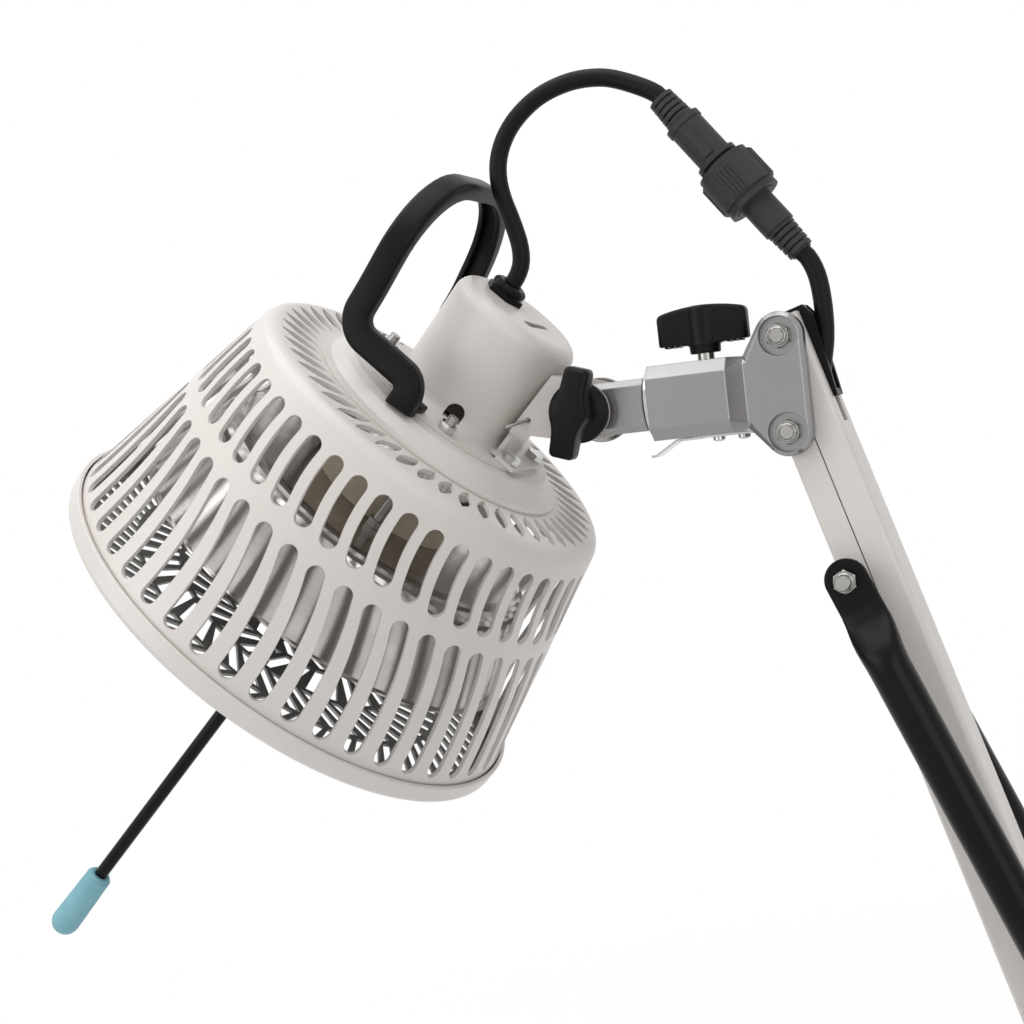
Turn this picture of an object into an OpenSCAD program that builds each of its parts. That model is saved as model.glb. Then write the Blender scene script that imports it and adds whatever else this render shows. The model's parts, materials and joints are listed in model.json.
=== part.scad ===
// Infrared heat-lamp dryer head on a balanced parallelogram arm.
// Millimetres, +Z up. The origin is the top of the spigot that drops into the stand's mast.
// The arm and the head lie in the plane y = 0, with the head towards -X.

/* [Arm] */
// Distance between the lower and the upper pivot of each arm channel
arm_len = 420; // [340:10:520]
// Lean of the arm from upright at its highest stop
arm_lean = 16.2; // [14:0.2:24]
// Height between the two pivots at each end of the arm
pivot_gap = 43.5; // [41:0.5:48]
// Width of both arm channels
channel_w = 30; // [26:1:31]
// Sheet thickness of the arm channels
channel_t = 1.5; // [1:0.1:2.5]
// Front face of the front channel to its pivot line
front_edge = 4.6; // [4.2:0.1:6]
// Depth of the front channel
front_depth = 12.9; // [11:0.1:15]
// Pivot line of the rear channel to its rear face
rear_edge = 10.2; // [9:0.1:13]
// Channel past each pivot
channel_over = 8; // [6:0.5:9]
// Diameter of the pivot bolts
bolt_d = 6; // [5:0.5:6]

/* [Mast yoke] */
// Diameter of the spigot that drops into the mast
spigot_d = 22; // [16:1:28]
// Length of the spigot
spigot_len = 45; // [30:5:80]
// Height of the lower front pivot above the mast
yoke_pivot_z = 60; // [50:1:80]
// Front pivot ahead of the mast axis
yoke_front_x = 20; // [16:1:26]
// Strut pivot behind the lower front pivot
strut_foot_x = 41.5; // [38:0.5:46]
// Thickness of the yoke's side plates
yoke_t = 4; // [3:0.5:6]

/* [Struts] */
// Outer diameter of the strut tubes
strut_d = 19; // [16:0.5:22]
// Spread of the two struts, axis to axis
strut_spread = 70; // [64:1:80]
// Upper strut pivot down from the upper arm pivot
strut_drop = 71.3; // [60:1:90]
// Length of the strut tubes below their pivot
strut_tube_len = 240; // [200:5:260]
// Diameter of the strut rods
strut_rod_d = 9; // [7:0.5:10]

/* [Clevis bracket] */
// Arm pivots to the tilt pivot, along X
head_reach = 98.6; // [92:0.2:115]
// Swivel axis above the upper front pivot
axis_rise = 19.7; // [17:0.1:23]
// Height of the cast body
cast_h = 35; // [33:0.5:40]
// Width of the cast body
cast_w = 37; // [34:0.5:42]
// Length of the cast body
cast_len = 38; // [36:1:46]
// Length of the flare between body and ears
flare_len = 10; // [8:1:14]
// Ear radius about its pivot
ear_r = 11; // [10.6:0.1:12]
// Ear thickness
ear_t = 8; // [7:0.5:10]

/* [Swivel shaft] */
// Height of the shaft's flat bar
bar_h = 25; // [23:0.5:28]
// Width of the shaft's flat bar
bar_w = 22; // [18:0.5:24]
// Width of the shaft's eye between the tilt bracket's ears
eye_w = 28; // [24:0.5:32]
// Diameter of the shaft's round journal
journal_d = 20; // [18:0.5:22]
// Diameter of the tilt bolt
tilt_bolt_d = 8; // [6:0.5:9]

/* [Knobs] */
// Span of each wing knob
knob_span = 43; // [36:1:50]
// Thickness of the wing
knob_wing = 13; // [10:0.5:16]
// Height of each wing knob
knob_h = 14.5; // [12:0.5:20]
// Stem under the swivel knob's wing
roll_stem = 11; // [8:0.5:16]
// Stem behind the tilt knob's wing
tilt_stem = 7; // [5:0.5:12]

/* [Head placing] */
// Lean of the head axis from upright
head_tilt = 45.9; // [30:0.1:60]
// Tilt pivot above the rim
pivot_h = 188.6; // [186:0.2:194]
// Tilt pivot off the head axis
pivot_v = 56.5; // [55:0.1:62]

/* [Cage] */
// Outer radius of the rim ring
rim_r = 130; // [126:1:140]
// Height of the rim ring
rim_h = 11; // [9:0.5:16]
// Height of the cage above the rim
cage_h = 134; // [128:1:138]
// Taper of the cage wall from the head axis
cage_taper = 12.7; // [9:0.1:14]
// Rounding of the cage shoulder
shoulder_round = 8; // [5:0.5:10]
// Wall of the cage
cage_t = 2.2; // [1.6:0.1:3]
// Slots in each row round the cage wall
slot_count = 46; // [30:1:48]
// Width of a wall slot
slot_w = 8.8; // [6:0.1:9.4]
// Bottom of the lower slots
low_slot_from = 14; // [12.5:0.5:20]
// Top of the lower slots
low_slot_to = 79; // [60:1:80]
// Bottom of the upper slots
up_slot_from = 86.5; // [84:0.5:92]
// Top of the upper slots
up_slot_to = 121.5; // [110:0.5:122]
// Sideways sweep of a lower slot
low_sweep = 10.3; // [0:0.1:12]
// Sideways sweep of an upper slot
up_sweep = 4.8; // [0:0.1:6]
// Leaf-shaped vents in the cage top
vent_count = 48; // [24:1:48]
// Outer radius of the vents
vent_out = 93; // [88:0.5:93]
// Inner radius of the vents
vent_in = 72; // [70:0.5:78]
// Width of a vent at its middle
vent_w = 7.2; // [3:0.1:7.4]
// Swirl of a vent, sideways from its outer to its inner tip
vent_swirl = 7.6; // [0:0.1:9]

/* [Front guard] */
// Thickness of the front guard
guard_t = 1.5; // [1.2:0.1:3]
// Rings of slanted slots in the guard
guard_rows = 4; // [3:1:5]
// Least metal between two slanted slots
guard_bar = 2.6; // [1.4:0.1:3.4]
// Width of a slanted slot
guard_slot = 5.2; // [3:0.1:6]
// Slant of the slots from the radius
guard_slant = 30; // [0:1:45]

/* [Mounting plate and neck] */
// Foot radius of the mounting plate
plate_r = 66; // [64:0.5:68]
// Height of the mounting plate's step
plate_step = 9.5; // [8.5:0.5:11]
// Outer radius of the neck housing at its top
neck_r = 34.2; // [33.6:0.1:34.6]
// Outer radius of the neck housing at its foot
neck_foot_r = 32; // [31:0.1:33.4]
// Height of the neck top above the rim
neck_h = 203.8; // [200:0.2:208]
// Rounding of the neck top
neck_round = 8; // [5:0.5:10]
// Sheet thickness of neck and plate
neck_t = 1.8; // [1.2:0.1:2]

/* [Reflector and heater] */
// Radius of the reflector's mouth
bowl_mouth_r = 107; // [100:1:108]
// Height of the reflector's mouth above the rim
bowl_mouth_h = 38; // [34:1:40]
// Height of the reflector's back above the rim
bowl_back_h = 86; // [82:1:88]
// Radius of the mineral plate
mineral_r = 62; // [50:1:66]
// Radius of the ceramic stack behind the reflector
stack_r = 40; // [34:0.5:40.5]

/* [Handle] */
// Outer width of the handle at its feet
handle_w = 126; // [124:1:130]
// Width of the handle band
handle_band = 13.5; // [12:0.5:16]
// Thickness of the handle band
handle_t = 8.5; // [8:0.5:10]
// Height of the handle's bow above its knees
bow_rise = 75.5; // [62:0.5:84]
// Outer radius of the bow's two corners
bow_r = 50; // [40:1:52]
// Knees behind the head axis
knee_back = 46; // [42:0.5:50]
// Lean of the bow from the head axis
bow_lean = 9.5; // [0:0.5:14]

/* [Distance rod] */
// Diameter of the distance rod
rod_d = 7; // [5:0.5:9]
// Reach of the rod's tip below the rim
rod_reach = 229.5; // [180:1:240]
// Diameter of the soft tip
tip_d = 15.6; // [12:0.2:20]
// Length of the soft tip
tip_len = 44; // [30:1:60]

/* [Cable] */
// Diameter of the cable
cable_d = 8.6; // [7:0.2:8.8]

/* [Hidden] */
$fn = 48;

fit = 0.05;      // radial clearance of a running fit
seat = 0.25;     // air between faces that move past each other
hole_gap = 0.2;  // radial clearance of a bolt in its hole

white = [0.87, 0.85, 0.84];
cast_grey = [0.62, 0.62, 0.63];
steel = [0.75, 0.75, 0.77];
bright = [0.86, 0.86, 0.88];
black = [0.09, 0.09, 0.1];
dark_grey = [0.24, 0.24, 0.25];
blue = [0.49, 0.71, 0.76];
beige = [0.71, 0.66, 0.56];

// ---- Pivots ----
arm_dir = [-sin(arm_lean), 0, cos(arm_lean)];
front_foot = [-yoke_front_x, 0, yoke_pivot_z];
rear_foot = front_foot + [0, 0, pivot_gap];
front_top = front_foot + arm_len*arm_dir;
rear_top = front_top + [0, 0, pivot_gap];
tilt_pivot = front_top + [-head_reach, 0, axis_rise];
strut_foot = front_foot + [strut_foot_x, 0, 0];
strut_at = arm_len - strut_drop;
strut_head = front_foot + strut_at*arm_dir;
strut_lean = atan2(strut_foot[0] - strut_head[0], strut_head[2] - strut_foot[2]);
strut_len = norm(strut_foot - strut_head);
pivot_space = pivot_gap*sin(arm_lean);
front_open = front_depth - front_edge;
rear_open = front_open + 2*seat - pivot_space;
half_w = channel_w/2;
washer_t = 1.2;
plate_in = half_w + washer_t;
strut_y = strut_spread/2;

// ---- Bracket stations along X ----
pivot_x = front_top[0];
axis_z = tilt_pivot[2];
ear_out = plate_in + ear_t;
ear_root_x = pivot_x - 17.3;
cast_end_x = ear_root_x - flare_len;
cast_x = cast_end_x - cast_len;
bush_t = 3.4;
cast_lo = axis_z - cast_h/2;
cast_hi = axis_z + cast_h/2;
roll_x = cast_x + 26;
groove_x = cast_x + 14;

// ---- Head stations ----
foot_r = rim_r - 3;
ring_t = 2;
cage_foot_h = ring_t + 0.2;
shoulder_c = [foot_r - (cage_h - shoulder_round - rim_h)*tan(cage_taper)
              - shoulder_round/cos(cage_taper), cage_h - shoulder_round];
plate_top = cage_h + plate_step;
neck_base = plate_top;
gland_v = -13;
flange_r = 50.5;
stud_ring = 45.5;

// ---- Tilt bracket stations ----
ear_gauge = 2.5;
ear_y = eye_w/2 + seat;
web_v = neck_r + 0.4;
wire_v = pivot_v - 17.6;
wire_h = pivot_h - 19.7;
foot_screw_v = web_v + 9.5;
foot_screw_y = 16.5;
foot_half = 22;
foot_top = neck_base + neck_t + 2;
fillet_end = neck_foot_r + 6.2;

function arc(c, r, a0, a1, n = 6) =
    [for (i = [0:n]) let (a = a0 + (a1 - a0)*i/n) c + r*[cos(a), sin(a)]];
function flip(p) = [for (i = [len(p) - 1:-1:0]) p[i]];
function tangent(q, c, r, side) =
    let (d = q - c, b = atan2(d[1], d[0]) + side*acos(r/norm(d))) c + r*[cos(b), sin(b)];
function xz(p) = [p[0], p[2]];
function wall_r(h) = foot_r - (h - rim_h)*tan(cage_taper);

// ---- Placing ----
module at_arm(base) translate(base) rotate([0, -arm_lean, 0]) children();
module at_head() translate(tilt_pivot) rotate([0, head_tilt, 0])
    translate([-pivot_v, 0, -pivot_h]) children();
module at_strut(p) translate(p) rotate([0, -strut_lean, 0]) children();
// An XZ outline given thickness along Y, from y0 to y1
module slab(y0, y1) translate([0, y1, 0]) rotate([90, 0, 0]) linear_extrude(y1 - y0) children();
// A YZ outline given length along X, from x0 to x1
module bar(x0, x1) translate([x0, 0, 0]) rotate([90, 0, 90]) linear_extrude(x1 - x0) children();
module rod_y(r, y0, y1) translate([0, y0, 0]) rotate([-90, 0, 0]) cylinder(r = r, h = y1 - y0);
module rod_x(r, x0, x1) translate([x0, 0, 0]) rotate([0, 90, 0]) cylinder(r = r, h = x1 - x0);
module each_side() for (s = [-1, 1]) scale_y(s) children();
module scale_y(s) if (s > 0) children(); else mirror([0, 1, 0]) children();

module hex_y(flats, y0, y1)
    translate([0, y0, 0]) rotate([-90, 0, 0]) cylinder(d = flats/cos(30), h = y1 - y0, $fn = 6);
// Locknut on a bolt along Y: hex body with the plain collar that holds its insert
module locknut(d, y0, dir) scale_y(dir) difference() {
    union() {
        hex_y(1.66*d, y0, y0 + 0.75*d);
        rod_y(0.72*d, y0 + 0.74*d, y0 + d);
    }
    rod_y(d/2 + 0.05, y0 - 1, y0 + d + 1);
}
module bolt_y(d, y0, y1) {
    rod_y(d/2, y0, y1);
    hex_y(1.66*d, y1, y1 + 0.65*d);
}

// ---- Mast yoke ----
module yoke_outline() {
    n = [pivot_gap, strut_foot_x]/norm([pivot_gap, strut_foot_x]);
    x0 = front_foot[0] - ear_r;
    x1 = strut_foot[0] + ear_r;
    polygon([[x0, 8], [x0, rear_foot[2]], xz(rear_foot) + ear_r*n, xz(strut_foot) + ear_r*n,
             [x1, strut_foot[2]], [x1, 8]]);
    translate(xz(rear_foot)) circle(ear_r);
    translate(xz(strut_foot)) circle(ear_r);
}
module mast_yoke() color(cast_grey) {
    difference() {
        union() {
            translate([0, 0, -spigot_len]) cylinder(d = spigot_d, h = spigot_len + 4);
            translate([0, 0, -spigot_len - 2]) cylinder(d1 = spigot_d - 4, d2 = spigot_d, h = 2);
            cylinder(r = spigot_d/2 + 9, h = 10);
            each_side() slab(plate_in, plate_in + yoke_t) yoke_outline();
            slab(-plate_in - 1, plate_in + 1)
                polygon([[front_foot[0] - ear_r, 8], [strut_foot[0] + ear_r, 8],
                         [strut_foot[0] + ear_r, 26], [front_foot[0] - ear_r, 20]]);
        }
        for (p = [front_foot, rear_foot, strut_foot])
            translate(p) rod_y(bolt_d/2 + hole_gap, -60, 60);
    }
}
module lower_pivot_bolts() color(steel) {
    for (p = [front_foot, rear_foot]) translate(p)
        bolt_y(bolt_d, -plate_in - yoke_t - 7, plate_in + yoke_t);
    translate(strut_foot) rod_y(bolt_d/2, -strut_y - strut_d/2 - 1, strut_y + strut_d/2 + 1);
    each_side() translate(strut_foot) hex_y(1.66*bolt_d, strut_y + 7.2, strut_y + 11);
}
module lower_pivot_nuts() color(steel) {
    for (p = [front_foot, rear_foot]) translate(p) locknut(bolt_d, plate_in + yoke_t, -1);
}
module washer(p, y0, y1, r = 7.5) translate(p) difference() {
    rod_y(r, y0, y1);
    rod_y(bolt_d/2 + 0.1, y0 - 1, y1 + 1);
}
module lower_washers() color(black) each_side() {
    for (p = [front_foot, rear_foot]) washer(p, half_w + 0.1, plate_in - 0.1, 6.5);
    washer(strut_foot, plate_in + yoke_t, strut_y - 5.2, 6.5);
}

// ---- Arm channels ----
// U outline with its web at x = web_x and its open side at x = open_x
module channel_outline(web_x, open_x, corner) {
    s = sign(open_x - web_x);
    c = web_x + s*corner;
    difference() {
        polygon(concat([[open_x, -half_w]], arc([c, corner - half_w], corner, 270, 270 - s*90),
                       arc([c, half_w - corner], corner, 90 + s*90, 90), [[open_x, half_w]]));
        translate([min(web_x + s*channel_t, open_x + s), channel_t - half_w])
            square([abs(open_x - web_x) - channel_t + 1, channel_w - 2*channel_t]);
    }
}
module front_channel() color(white) at_arm(front_foot) difference() {
    translate([0, 0, -channel_over]) linear_extrude(arm_len + 2*channel_over)
        channel_outline(-front_edge, front_open, 1.6);
    for (z = [0, arm_len, strut_at]) translate([0, 0, z])
        rod_y(bolt_d/2 + hole_gap, -60, 60);
}
slot_from = 46;
clip_from = 31;
module rear_channel() color(white) at_arm(rear_foot) difference() {
    translate([0, 0, -channel_over]) linear_extrude(arm_len + 2*channel_over)
        channel_outline(rear_edge, rear_open, 2.6);
    for (z = [0, arm_len]) translate([0, 0, z]) rod_y(bolt_d/2 + hole_gap, -60, 60);
    translate([rear_edge - channel_t - 1, -cable_d/2 - 0.7, arm_len - slot_from])
        cube([channel_t + 2, cable_d + 1.4, slot_from - 5]);
}
// Black cap over the rear channel's top end, with cheeks that lead the cable in
module cable_clip() color(black) at_arm(rear_foot) translate([rear_edge, 0, arm_len]) {
    inner = cable_d/2 + 0.5;
    each_side() slab(inner, inner + 2.6)
        polygon([[0.1, -clip_from - 3], [2, -clip_from - 3], [5.4, 4], [2.4, channel_over + 2.2],
                 [0.1, channel_over + 2.2]]);
    translate([0.1, -inner - 2.6, channel_over - 4])
        cube([2.2, 2*inner + 5.2, 6.2]);
    translate([rear_open - rear_edge + 0.6, -inner - 2.6, channel_over + 0.1])
        cube([rear_edge - rear_open + 1.6, 2*inner + 5.2, 2.1]);
    translate([0.1, -inner - 2.6, -clip_from - 3]) cube([1.9, 2*inner + 5.2, 3]);
}

// ---- Struts ----
module strut_bolt() color(steel) translate(strut_head)
    rod_y(bolt_d/2, -strut_y - 4.4, strut_y + 4.4);
module strut_nuts() color(steel) translate(strut_head) for (s = [-1, 1])
    locknut(bolt_d, strut_y - 5.6, s);
module strut_spacers() color(black) each_side() translate(strut_head) difference() {
    rod_y(6, half_w + 0.1, strut_y - 9.2);
    rod_y(bolt_d/2 + 0.1, half_w - 1, strut_y);
}
tongue_t = 3.2;
module strut_tubes() color(black) each_side() at_strut(strut_head) difference() {
    union() {
        // flattened tongue round the bolt
        slab(strut_y - 9, strut_y - 9 + tongue_t) {
            circle(10);
            translate([-10, -22]) square([20, 22]);
        }
        // closed shoulder and tube
        translate([0, strut_y, -24]) intersection() {
            cylinder(d = strut_d, h = 12);
            translate([-strut_d, 0, 0]) rotate([90, 0, 90]) linear_extrude(2*strut_d)
                polygon([[-strut_d/2, 0], [strut_d/2, 0], [-strut_d/2 + tongue_t, 12],
                         [-strut_d/2, 12]]);
        }
        translate([0, strut_y, -strut_tube_len]) cylinder(d = strut_d, h = strut_tube_len - 24);
    }
    rod_y(bolt_d/2 + hole_gap, 0, 80);
    translate([0, strut_y, -strut_tube_len - 1])
        cylinder(d = strut_d - 2.4, h = strut_tube_len - 29);
}
// Collar in the mouth of each tube, with working room round the rod
module strut_caps() color(black) each_side() at_strut(strut_head)
    translate([0, strut_y, -strut_tube_len - 5]) difference() {
        union() {
            cylinder(d = strut_d, h = 4.8);
            cylinder(d = strut_d - 2.6, h = 12);
        }
        translate([0, 0, -1]) cylinder(d = strut_rod_d + 4.4, h = 14);
    }
module strut_rods() color(steel) each_side() at_strut(strut_foot) difference() {
    union() {
        translate([0, strut_y, 7]) cylinder(d = strut_rod_d, h = strut_len - 75);
        rod_y(9, strut_y - 5, strut_y + 7);
    }
    rod_y(bolt_d/2 + fit, 0, 80);
}

// ---- Clevis bracket ----
module octagon(w, h, c) polygon([[-w/2 + c, -h/2], [w/2 - c, -h/2], [w/2, c - h/2],
    [w/2, h/2 - c], [w/2 - c, h/2], [c - w/2, h/2], [-w/2, h/2 - c], [-w/2, c - h/2]]);
module ear_outline(trim) {
    a = xz(rear_top);
    b = xz(front_top);
    r = ear_r - trim;
    hi = [ear_root_x + trim, cast_hi - trim - 1];
    lo = [ear_root_x + trim, cast_lo + trim + 1];
    polygon([hi, lo, tangent(lo, b, r, 1), b + [r, 0], a + [r, 0], tangent(hi, a, r, -1)]);
    translate(a) circle(r);
    translate(b) circle(r);
}
module clevis_bracket() color(cast_grey) difference() {
    union() {
        translate([0, 0, axis_z]) bar(cast_x, cast_end_x + 0.01) octagon(cast_w, cast_h, 6);
        hull() {
            translate([0, 0, axis_z]) bar(cast_end_x, cast_end_x + 0.1) octagon(cast_w, cast_h, 6);
            translate([0, 0, axis_z]) bar(ear_root_x, ear_root_x + 4)
                octagon(2*ear_out, cast_h - 2, 3);
        }
        each_side() {
            slab(plate_in, ear_out - 2) ear_outline(0);
            hull() {
                slab(ear_out - 2, ear_out - 1.9) ear_outline(0, $fn = 32);
                slab(ear_out - 0.1, ear_out) ear_outline(1.8, $fn = 32);
            }
        }
    }
    // pocket for the channel ends
    translate([ear_root_x + 3, -plate_in, 0]) cube([60, 2*plate_in, 800]);
    // counterbores and bores of the pivot bolts
    for (p = [front_top, rear_top]) translate(p) {
        rod_y(bolt_d/2 + hole_gap, -60, 60);
        each_side() rod_y(9, ear_out - 4, 60);
    }
    // journal bore, knob bore and latch hole
    translate([0, 0, axis_z]) rod_x(journal_d/2 + fit, cast_x - 1, cast_x + 36);
    translate([roll_x, 0, axis_z]) cylinder(r = 4 + hole_gap, h = cast_h);
    translate([groove_x - 5, -2.6, cast_lo - 1]) cube([8, 5.2, 10]);
}
module pivot_bolts() color(steel) for (p = [front_top, rear_top]) translate(p)
    bolt_y(bolt_d, -ear_out - 2.5, ear_out - 4);
module pivot_nuts() color(steel) for (p = [front_top, rear_top]) translate(p)
    locknut(bolt_d, ear_out - 4, -1);
module pivot_washers() color(black) each_side() for (p = [front_top, rear_top])
    washer(p, half_w + 0.1, plate_in - 0.1, 6.5);
module swivel_bush() color(bright) translate([cast_x - bush_t, 0, axis_z]) rotate([0, 90, 0])
    rotate_extrude() polygon([[journal_d/2 + fit, 0], [15, 0], [16.5, 1.2], [16.5, bush_t],
                              [journal_d/2 + fit, bush_t]]);

// ---- Latch under the bracket ----
latch_split = groove_x + 7;
latch_t = 1.2;
screw_xs = [latch_split + 7, latch_split + 19];
module latch_clamp() color(bright) difference() {
    translate([latch_split + 0.3, -7, cast_lo - latch_t]) cube([27, 14, latch_t]);
    for (x = screw_xs) translate([x, 0, cast_lo - 5]) cylinder(r = 1.6 + hole_gap, h = 9);
}
module latch_screws() color(bright) for (x = screw_xs) translate([x, 0, cast_lo - latch_t]) {
    translate([0, 0, -1.6]) cylinder(r = 2.9, h = 1.6);
    translate([0, 0, -2.3]) cylinder(r1 = 1.8, r2 = 2.9, h = 0.7);
}
module latch_leaf() color(bright) {
    z = cast_lo - 0.3;
    tip = groove_x - 16;
    slab(-6, 6) polygon([[latch_split, z], [groove_x - 5, z], [tip, z - 6.4], [tip - 2, z - 6.4],
        [tip - 2, z - 7.6], [tip, z - 7.6], [groove_x - 5, z - latch_t], [latch_split, z - latch_t]]);
    translate([groove_x, 0, z - latch_t])
        cylinder(r = 1.6, h = axis_z - journal_d/2 + 0.9 - z + latch_t);
}

// ---- Wing knobs ----
knob_stem_r = 7.5;
crown_r = 78;
// Wing knob on a stem: its base is at z = 0, its wing lies along X and its crown is on top
module wing_knob(stem) difference() {
    union() {
        cylinder(r = knob_stem_r, h = stem + 1);
        intersection() {
            translate([0, 0, stem]) linear_extrude(knob_h) {
                square([knob_span - 4, knob_wing], center = true);
                square([knob_span, knob_wing - 4], center = true);
                each_end() circle(2);
                circle(knob_wing*0.72);
            }
            translate([0, 50, stem + knob_h - crown_r]) rotate([90, 0, 0])
                cylinder(r = crown_r, h = 100, $fn = 96);
        }
    }
    // pockets under both wings, with a rib between them
    for (s = [-1, 1], k = [0:1])
        translate([s*(knob_span/4 + 2.6 + k*6.2) - 2.3, 1.8 - knob_wing/2, stem - 1])
            cube([4.6, knob_wing - 3.6, knob_h - 4]);
}
module each_end() for (x = [-1, 1], y = [-1, 1])
    translate([x*(knob_span/2 - 2), y*(knob_wing/2 - 2)]) children();
module roll_knob() color(black) translate([roll_x, 0, cast_hi + seat]) difference() {
    wing_knob(roll_stem);
    translate([0, 0, -1]) cylinder(r = 4.05, h = 11);
}
module roll_stud() color(steel) translate([roll_x, 0, axis_z + journal_d/2 + seat])
    cylinder(r = 4, h = cast_hi - axis_z - journal_d/2 + 9);
// Its axis points to -Y and its wing leans from upright by knob_lean
knob_lean = 18;
knob_y = ear_y + ear_gauge + seat;
module tilt_knob() color(black) translate(tilt_pivot) rotate([0, knob_lean, 0]) difference() {
    union() {
        translate([0, -knob_y, 0]) rotate([90, 0, 0]) rotate([0, 0, 90]) wing_knob(tilt_stem);
        rod_y(13, -knob_y - 4.6, -knob_y);
    }
    rod_y(tilt_bolt_d/2 + 0.05, -knob_y - 14, 0);
}

// ---- Swivel shaft ----
module swivel_shaft() color(cast_grey) difference() {
    union() {
        translate([0, 0, axis_z]) bar(tilt_pivot[0], cast_x - bush_t - seat)
            octagon(bar_w, bar_h, 3);
        translate(tilt_pivot) rod_y(bar_h/2, -eye_w/2, eye_w/2);
        translate([0, 0, axis_z]) rod_x(journal_d/2, cast_x - bush_t - seat - 1, cast_x + 35.5);
    }
    translate(tilt_pivot) rod_y(tilt_bolt_d/2 + fit, -30, 30);
    // groove that the latch pin drops into
    translate([groove_x - 3, 0, axis_z]) rotate([0, 90, 0]) difference() {
        cylinder(r = journal_d/2 + 2, h = 6);
        translate([0, 0, -1]) cylinder(r = journal_d/2 - 1.5, h = 8);
    }
}

// ---- Tilt bracket ----
module tilt_ear_outline() {
    p = [pivot_v, pivot_h];
    a = [web_v, pivot_h + 4.5];
    b = [web_v, pivot_h - 30];
    c = [web_v + 8.5, pivot_h - 25.5];
    polygon([a, b, c, tangent(c, p, 14, 1), p, tangent(a, p, 14, -1)]);
    translate(p) circle(14);
}
module tilt_bracket() color(white) at_head() difference() {
    union() {
        each_side() slab(ear_y, ear_y + ear_gauge) tilt_ear_outline();
        translate([web_v, -ear_y - ear_gauge, pivot_h - 30])
            cube([ear_gauge, 2*(ear_y + ear_gauge), 34.5]);
        // foot that carries the web down to the mounting plate
        translate([web_v, -ear_y, foot_top - 0.8])
            cube([ear_gauge, 2*ear_y, pivot_h - 29 - foot_top + 0.8]);
        translate([web_v, -foot_half, foot_top - 0.8]) cube([fillet_end - web_v + 1, 2*foot_half, 0.8]);
        translate([fillet_end, -foot_half, foot_top - 1.95])
            cube([web_v + 15 - fillet_end, 2*foot_half, 1.95]);
    }
    translate([pivot_v, 0, pivot_h]) rod_y(tilt_bolt_d/2 + 0.1, -60, 60);
    translate([wire_v, 0, wire_h]) rod_y(wire_r + 0.3, -60, 0);
    each_side() translate([foot_screw_v, foot_screw_y, neck_base]) cylinder(r = 2.5 + hole_gap, h = 9);
}
module bracket_screws() color(bright) at_head() each_side()
    translate([foot_screw_v, foot_screw_y, foot_top]) {
        cylinder(d = 8/cos(30), h = 3.4, $fn = 6);
        translate([0, 0, -8]) cylinder(r = 2.5, h = 9);
    }
module tilt_bolt() color(steel) translate(tilt_pivot) {
    rod_y(tilt_bolt_d/2, -knob_y - 13, ear_y + ear_gauge);
    difference() {
        rod_y(15.8, ear_y + ear_gauge, ear_y + ear_gauge + 3.2);
        rod_y(12, ear_y + ear_gauge + 2, ear_y + 9);
    }
}
// Thin wire hooked through the near ear, its free leg lying out and down towards the cage
wire_r = 0.9;
module stop_wire() color(steel) at_head()
    translate([wire_v, -ear_y - ear_gauge - 1.2, wire_h]) {
        rod_y(wire_r, 0, ear_gauge + 2.4);
        sphere(r = wire_r, $fn = 24);
        rotate([0, 0, -121]) rotate([0, 130, 0]) cylinder(r = wire_r, h = 12);
    }

// ---- Neck housing ----
module neck_housing() color(white) at_head() difference() {
    rotate_extrude($fn = 96) polygon(concat(
        [[flange_r, neck_base], [flange_r, neck_base + neck_t]],
        flip(arc([neck_foot_r + 6, neck_base + neck_t + 6], 6, 180, 270)),
        arc([neck_r - neck_round, neck_h - neck_round], neck_round, 0, 90),
        [[0, neck_h], [0, neck_h - neck_t]],
        flip(arc([neck_r - neck_round, neck_h - neck_round], neck_round - neck_t, 0, 90)),
        [[neck_foot_r - neck_t, neck_base + neck_t + 6], [neck_foot_r - neck_t, neck_base]]));
    // arched windows over three of the bolts
    for (a = [69, 180, 291]) rotate([0, 0, a]) translate([20, 0, neck_base + 8])
        rotate([90, 0, 90]) linear_extrude(20) {
            circle(4.6);
            translate([-4.6, -4]) square([9.2, 4]);
        }
    translate([gland_v, 0, neck_h - 9]) cylinder(r = 6.1, h = 12);
    // louvre slot in the top
    translate([0, 0, neck_h - 6]) linear_extrude(10) hull() {
        translate([9, -13]) circle(2.3);
        translate([12, 6]) circle(1.6);
    }
    round_neck(concat(long_studs, short_studs)) translate([0, 0, neck_base - 1])
        cylinder(r = 2.5 + hole_gap, h = 5);
    each_side() translate([foot_screw_v, foot_screw_y, neck_base - 1])
        cylinder(r = 2.5 + hole_gap, h = 9);
}
long_studs = [69, 180, 291];
short_studs = [111, 249];
module round_neck(list) for (a = list) rotate([0, 0, a]) translate([stud_ring, 0, 0]) children();
module m5_nut() difference() {
    cylinder(d = 8/cos(30), h = 4, $fn = 6);
    translate([0, 0, -1]) cylinder(r = 2.55, h = 6);
}
module neck_nuts() color(bright) at_head() round_neck(concat(long_studs, short_studs))
    translate([0, 0, plate_top + neck_t]) m5_nut();

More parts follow.
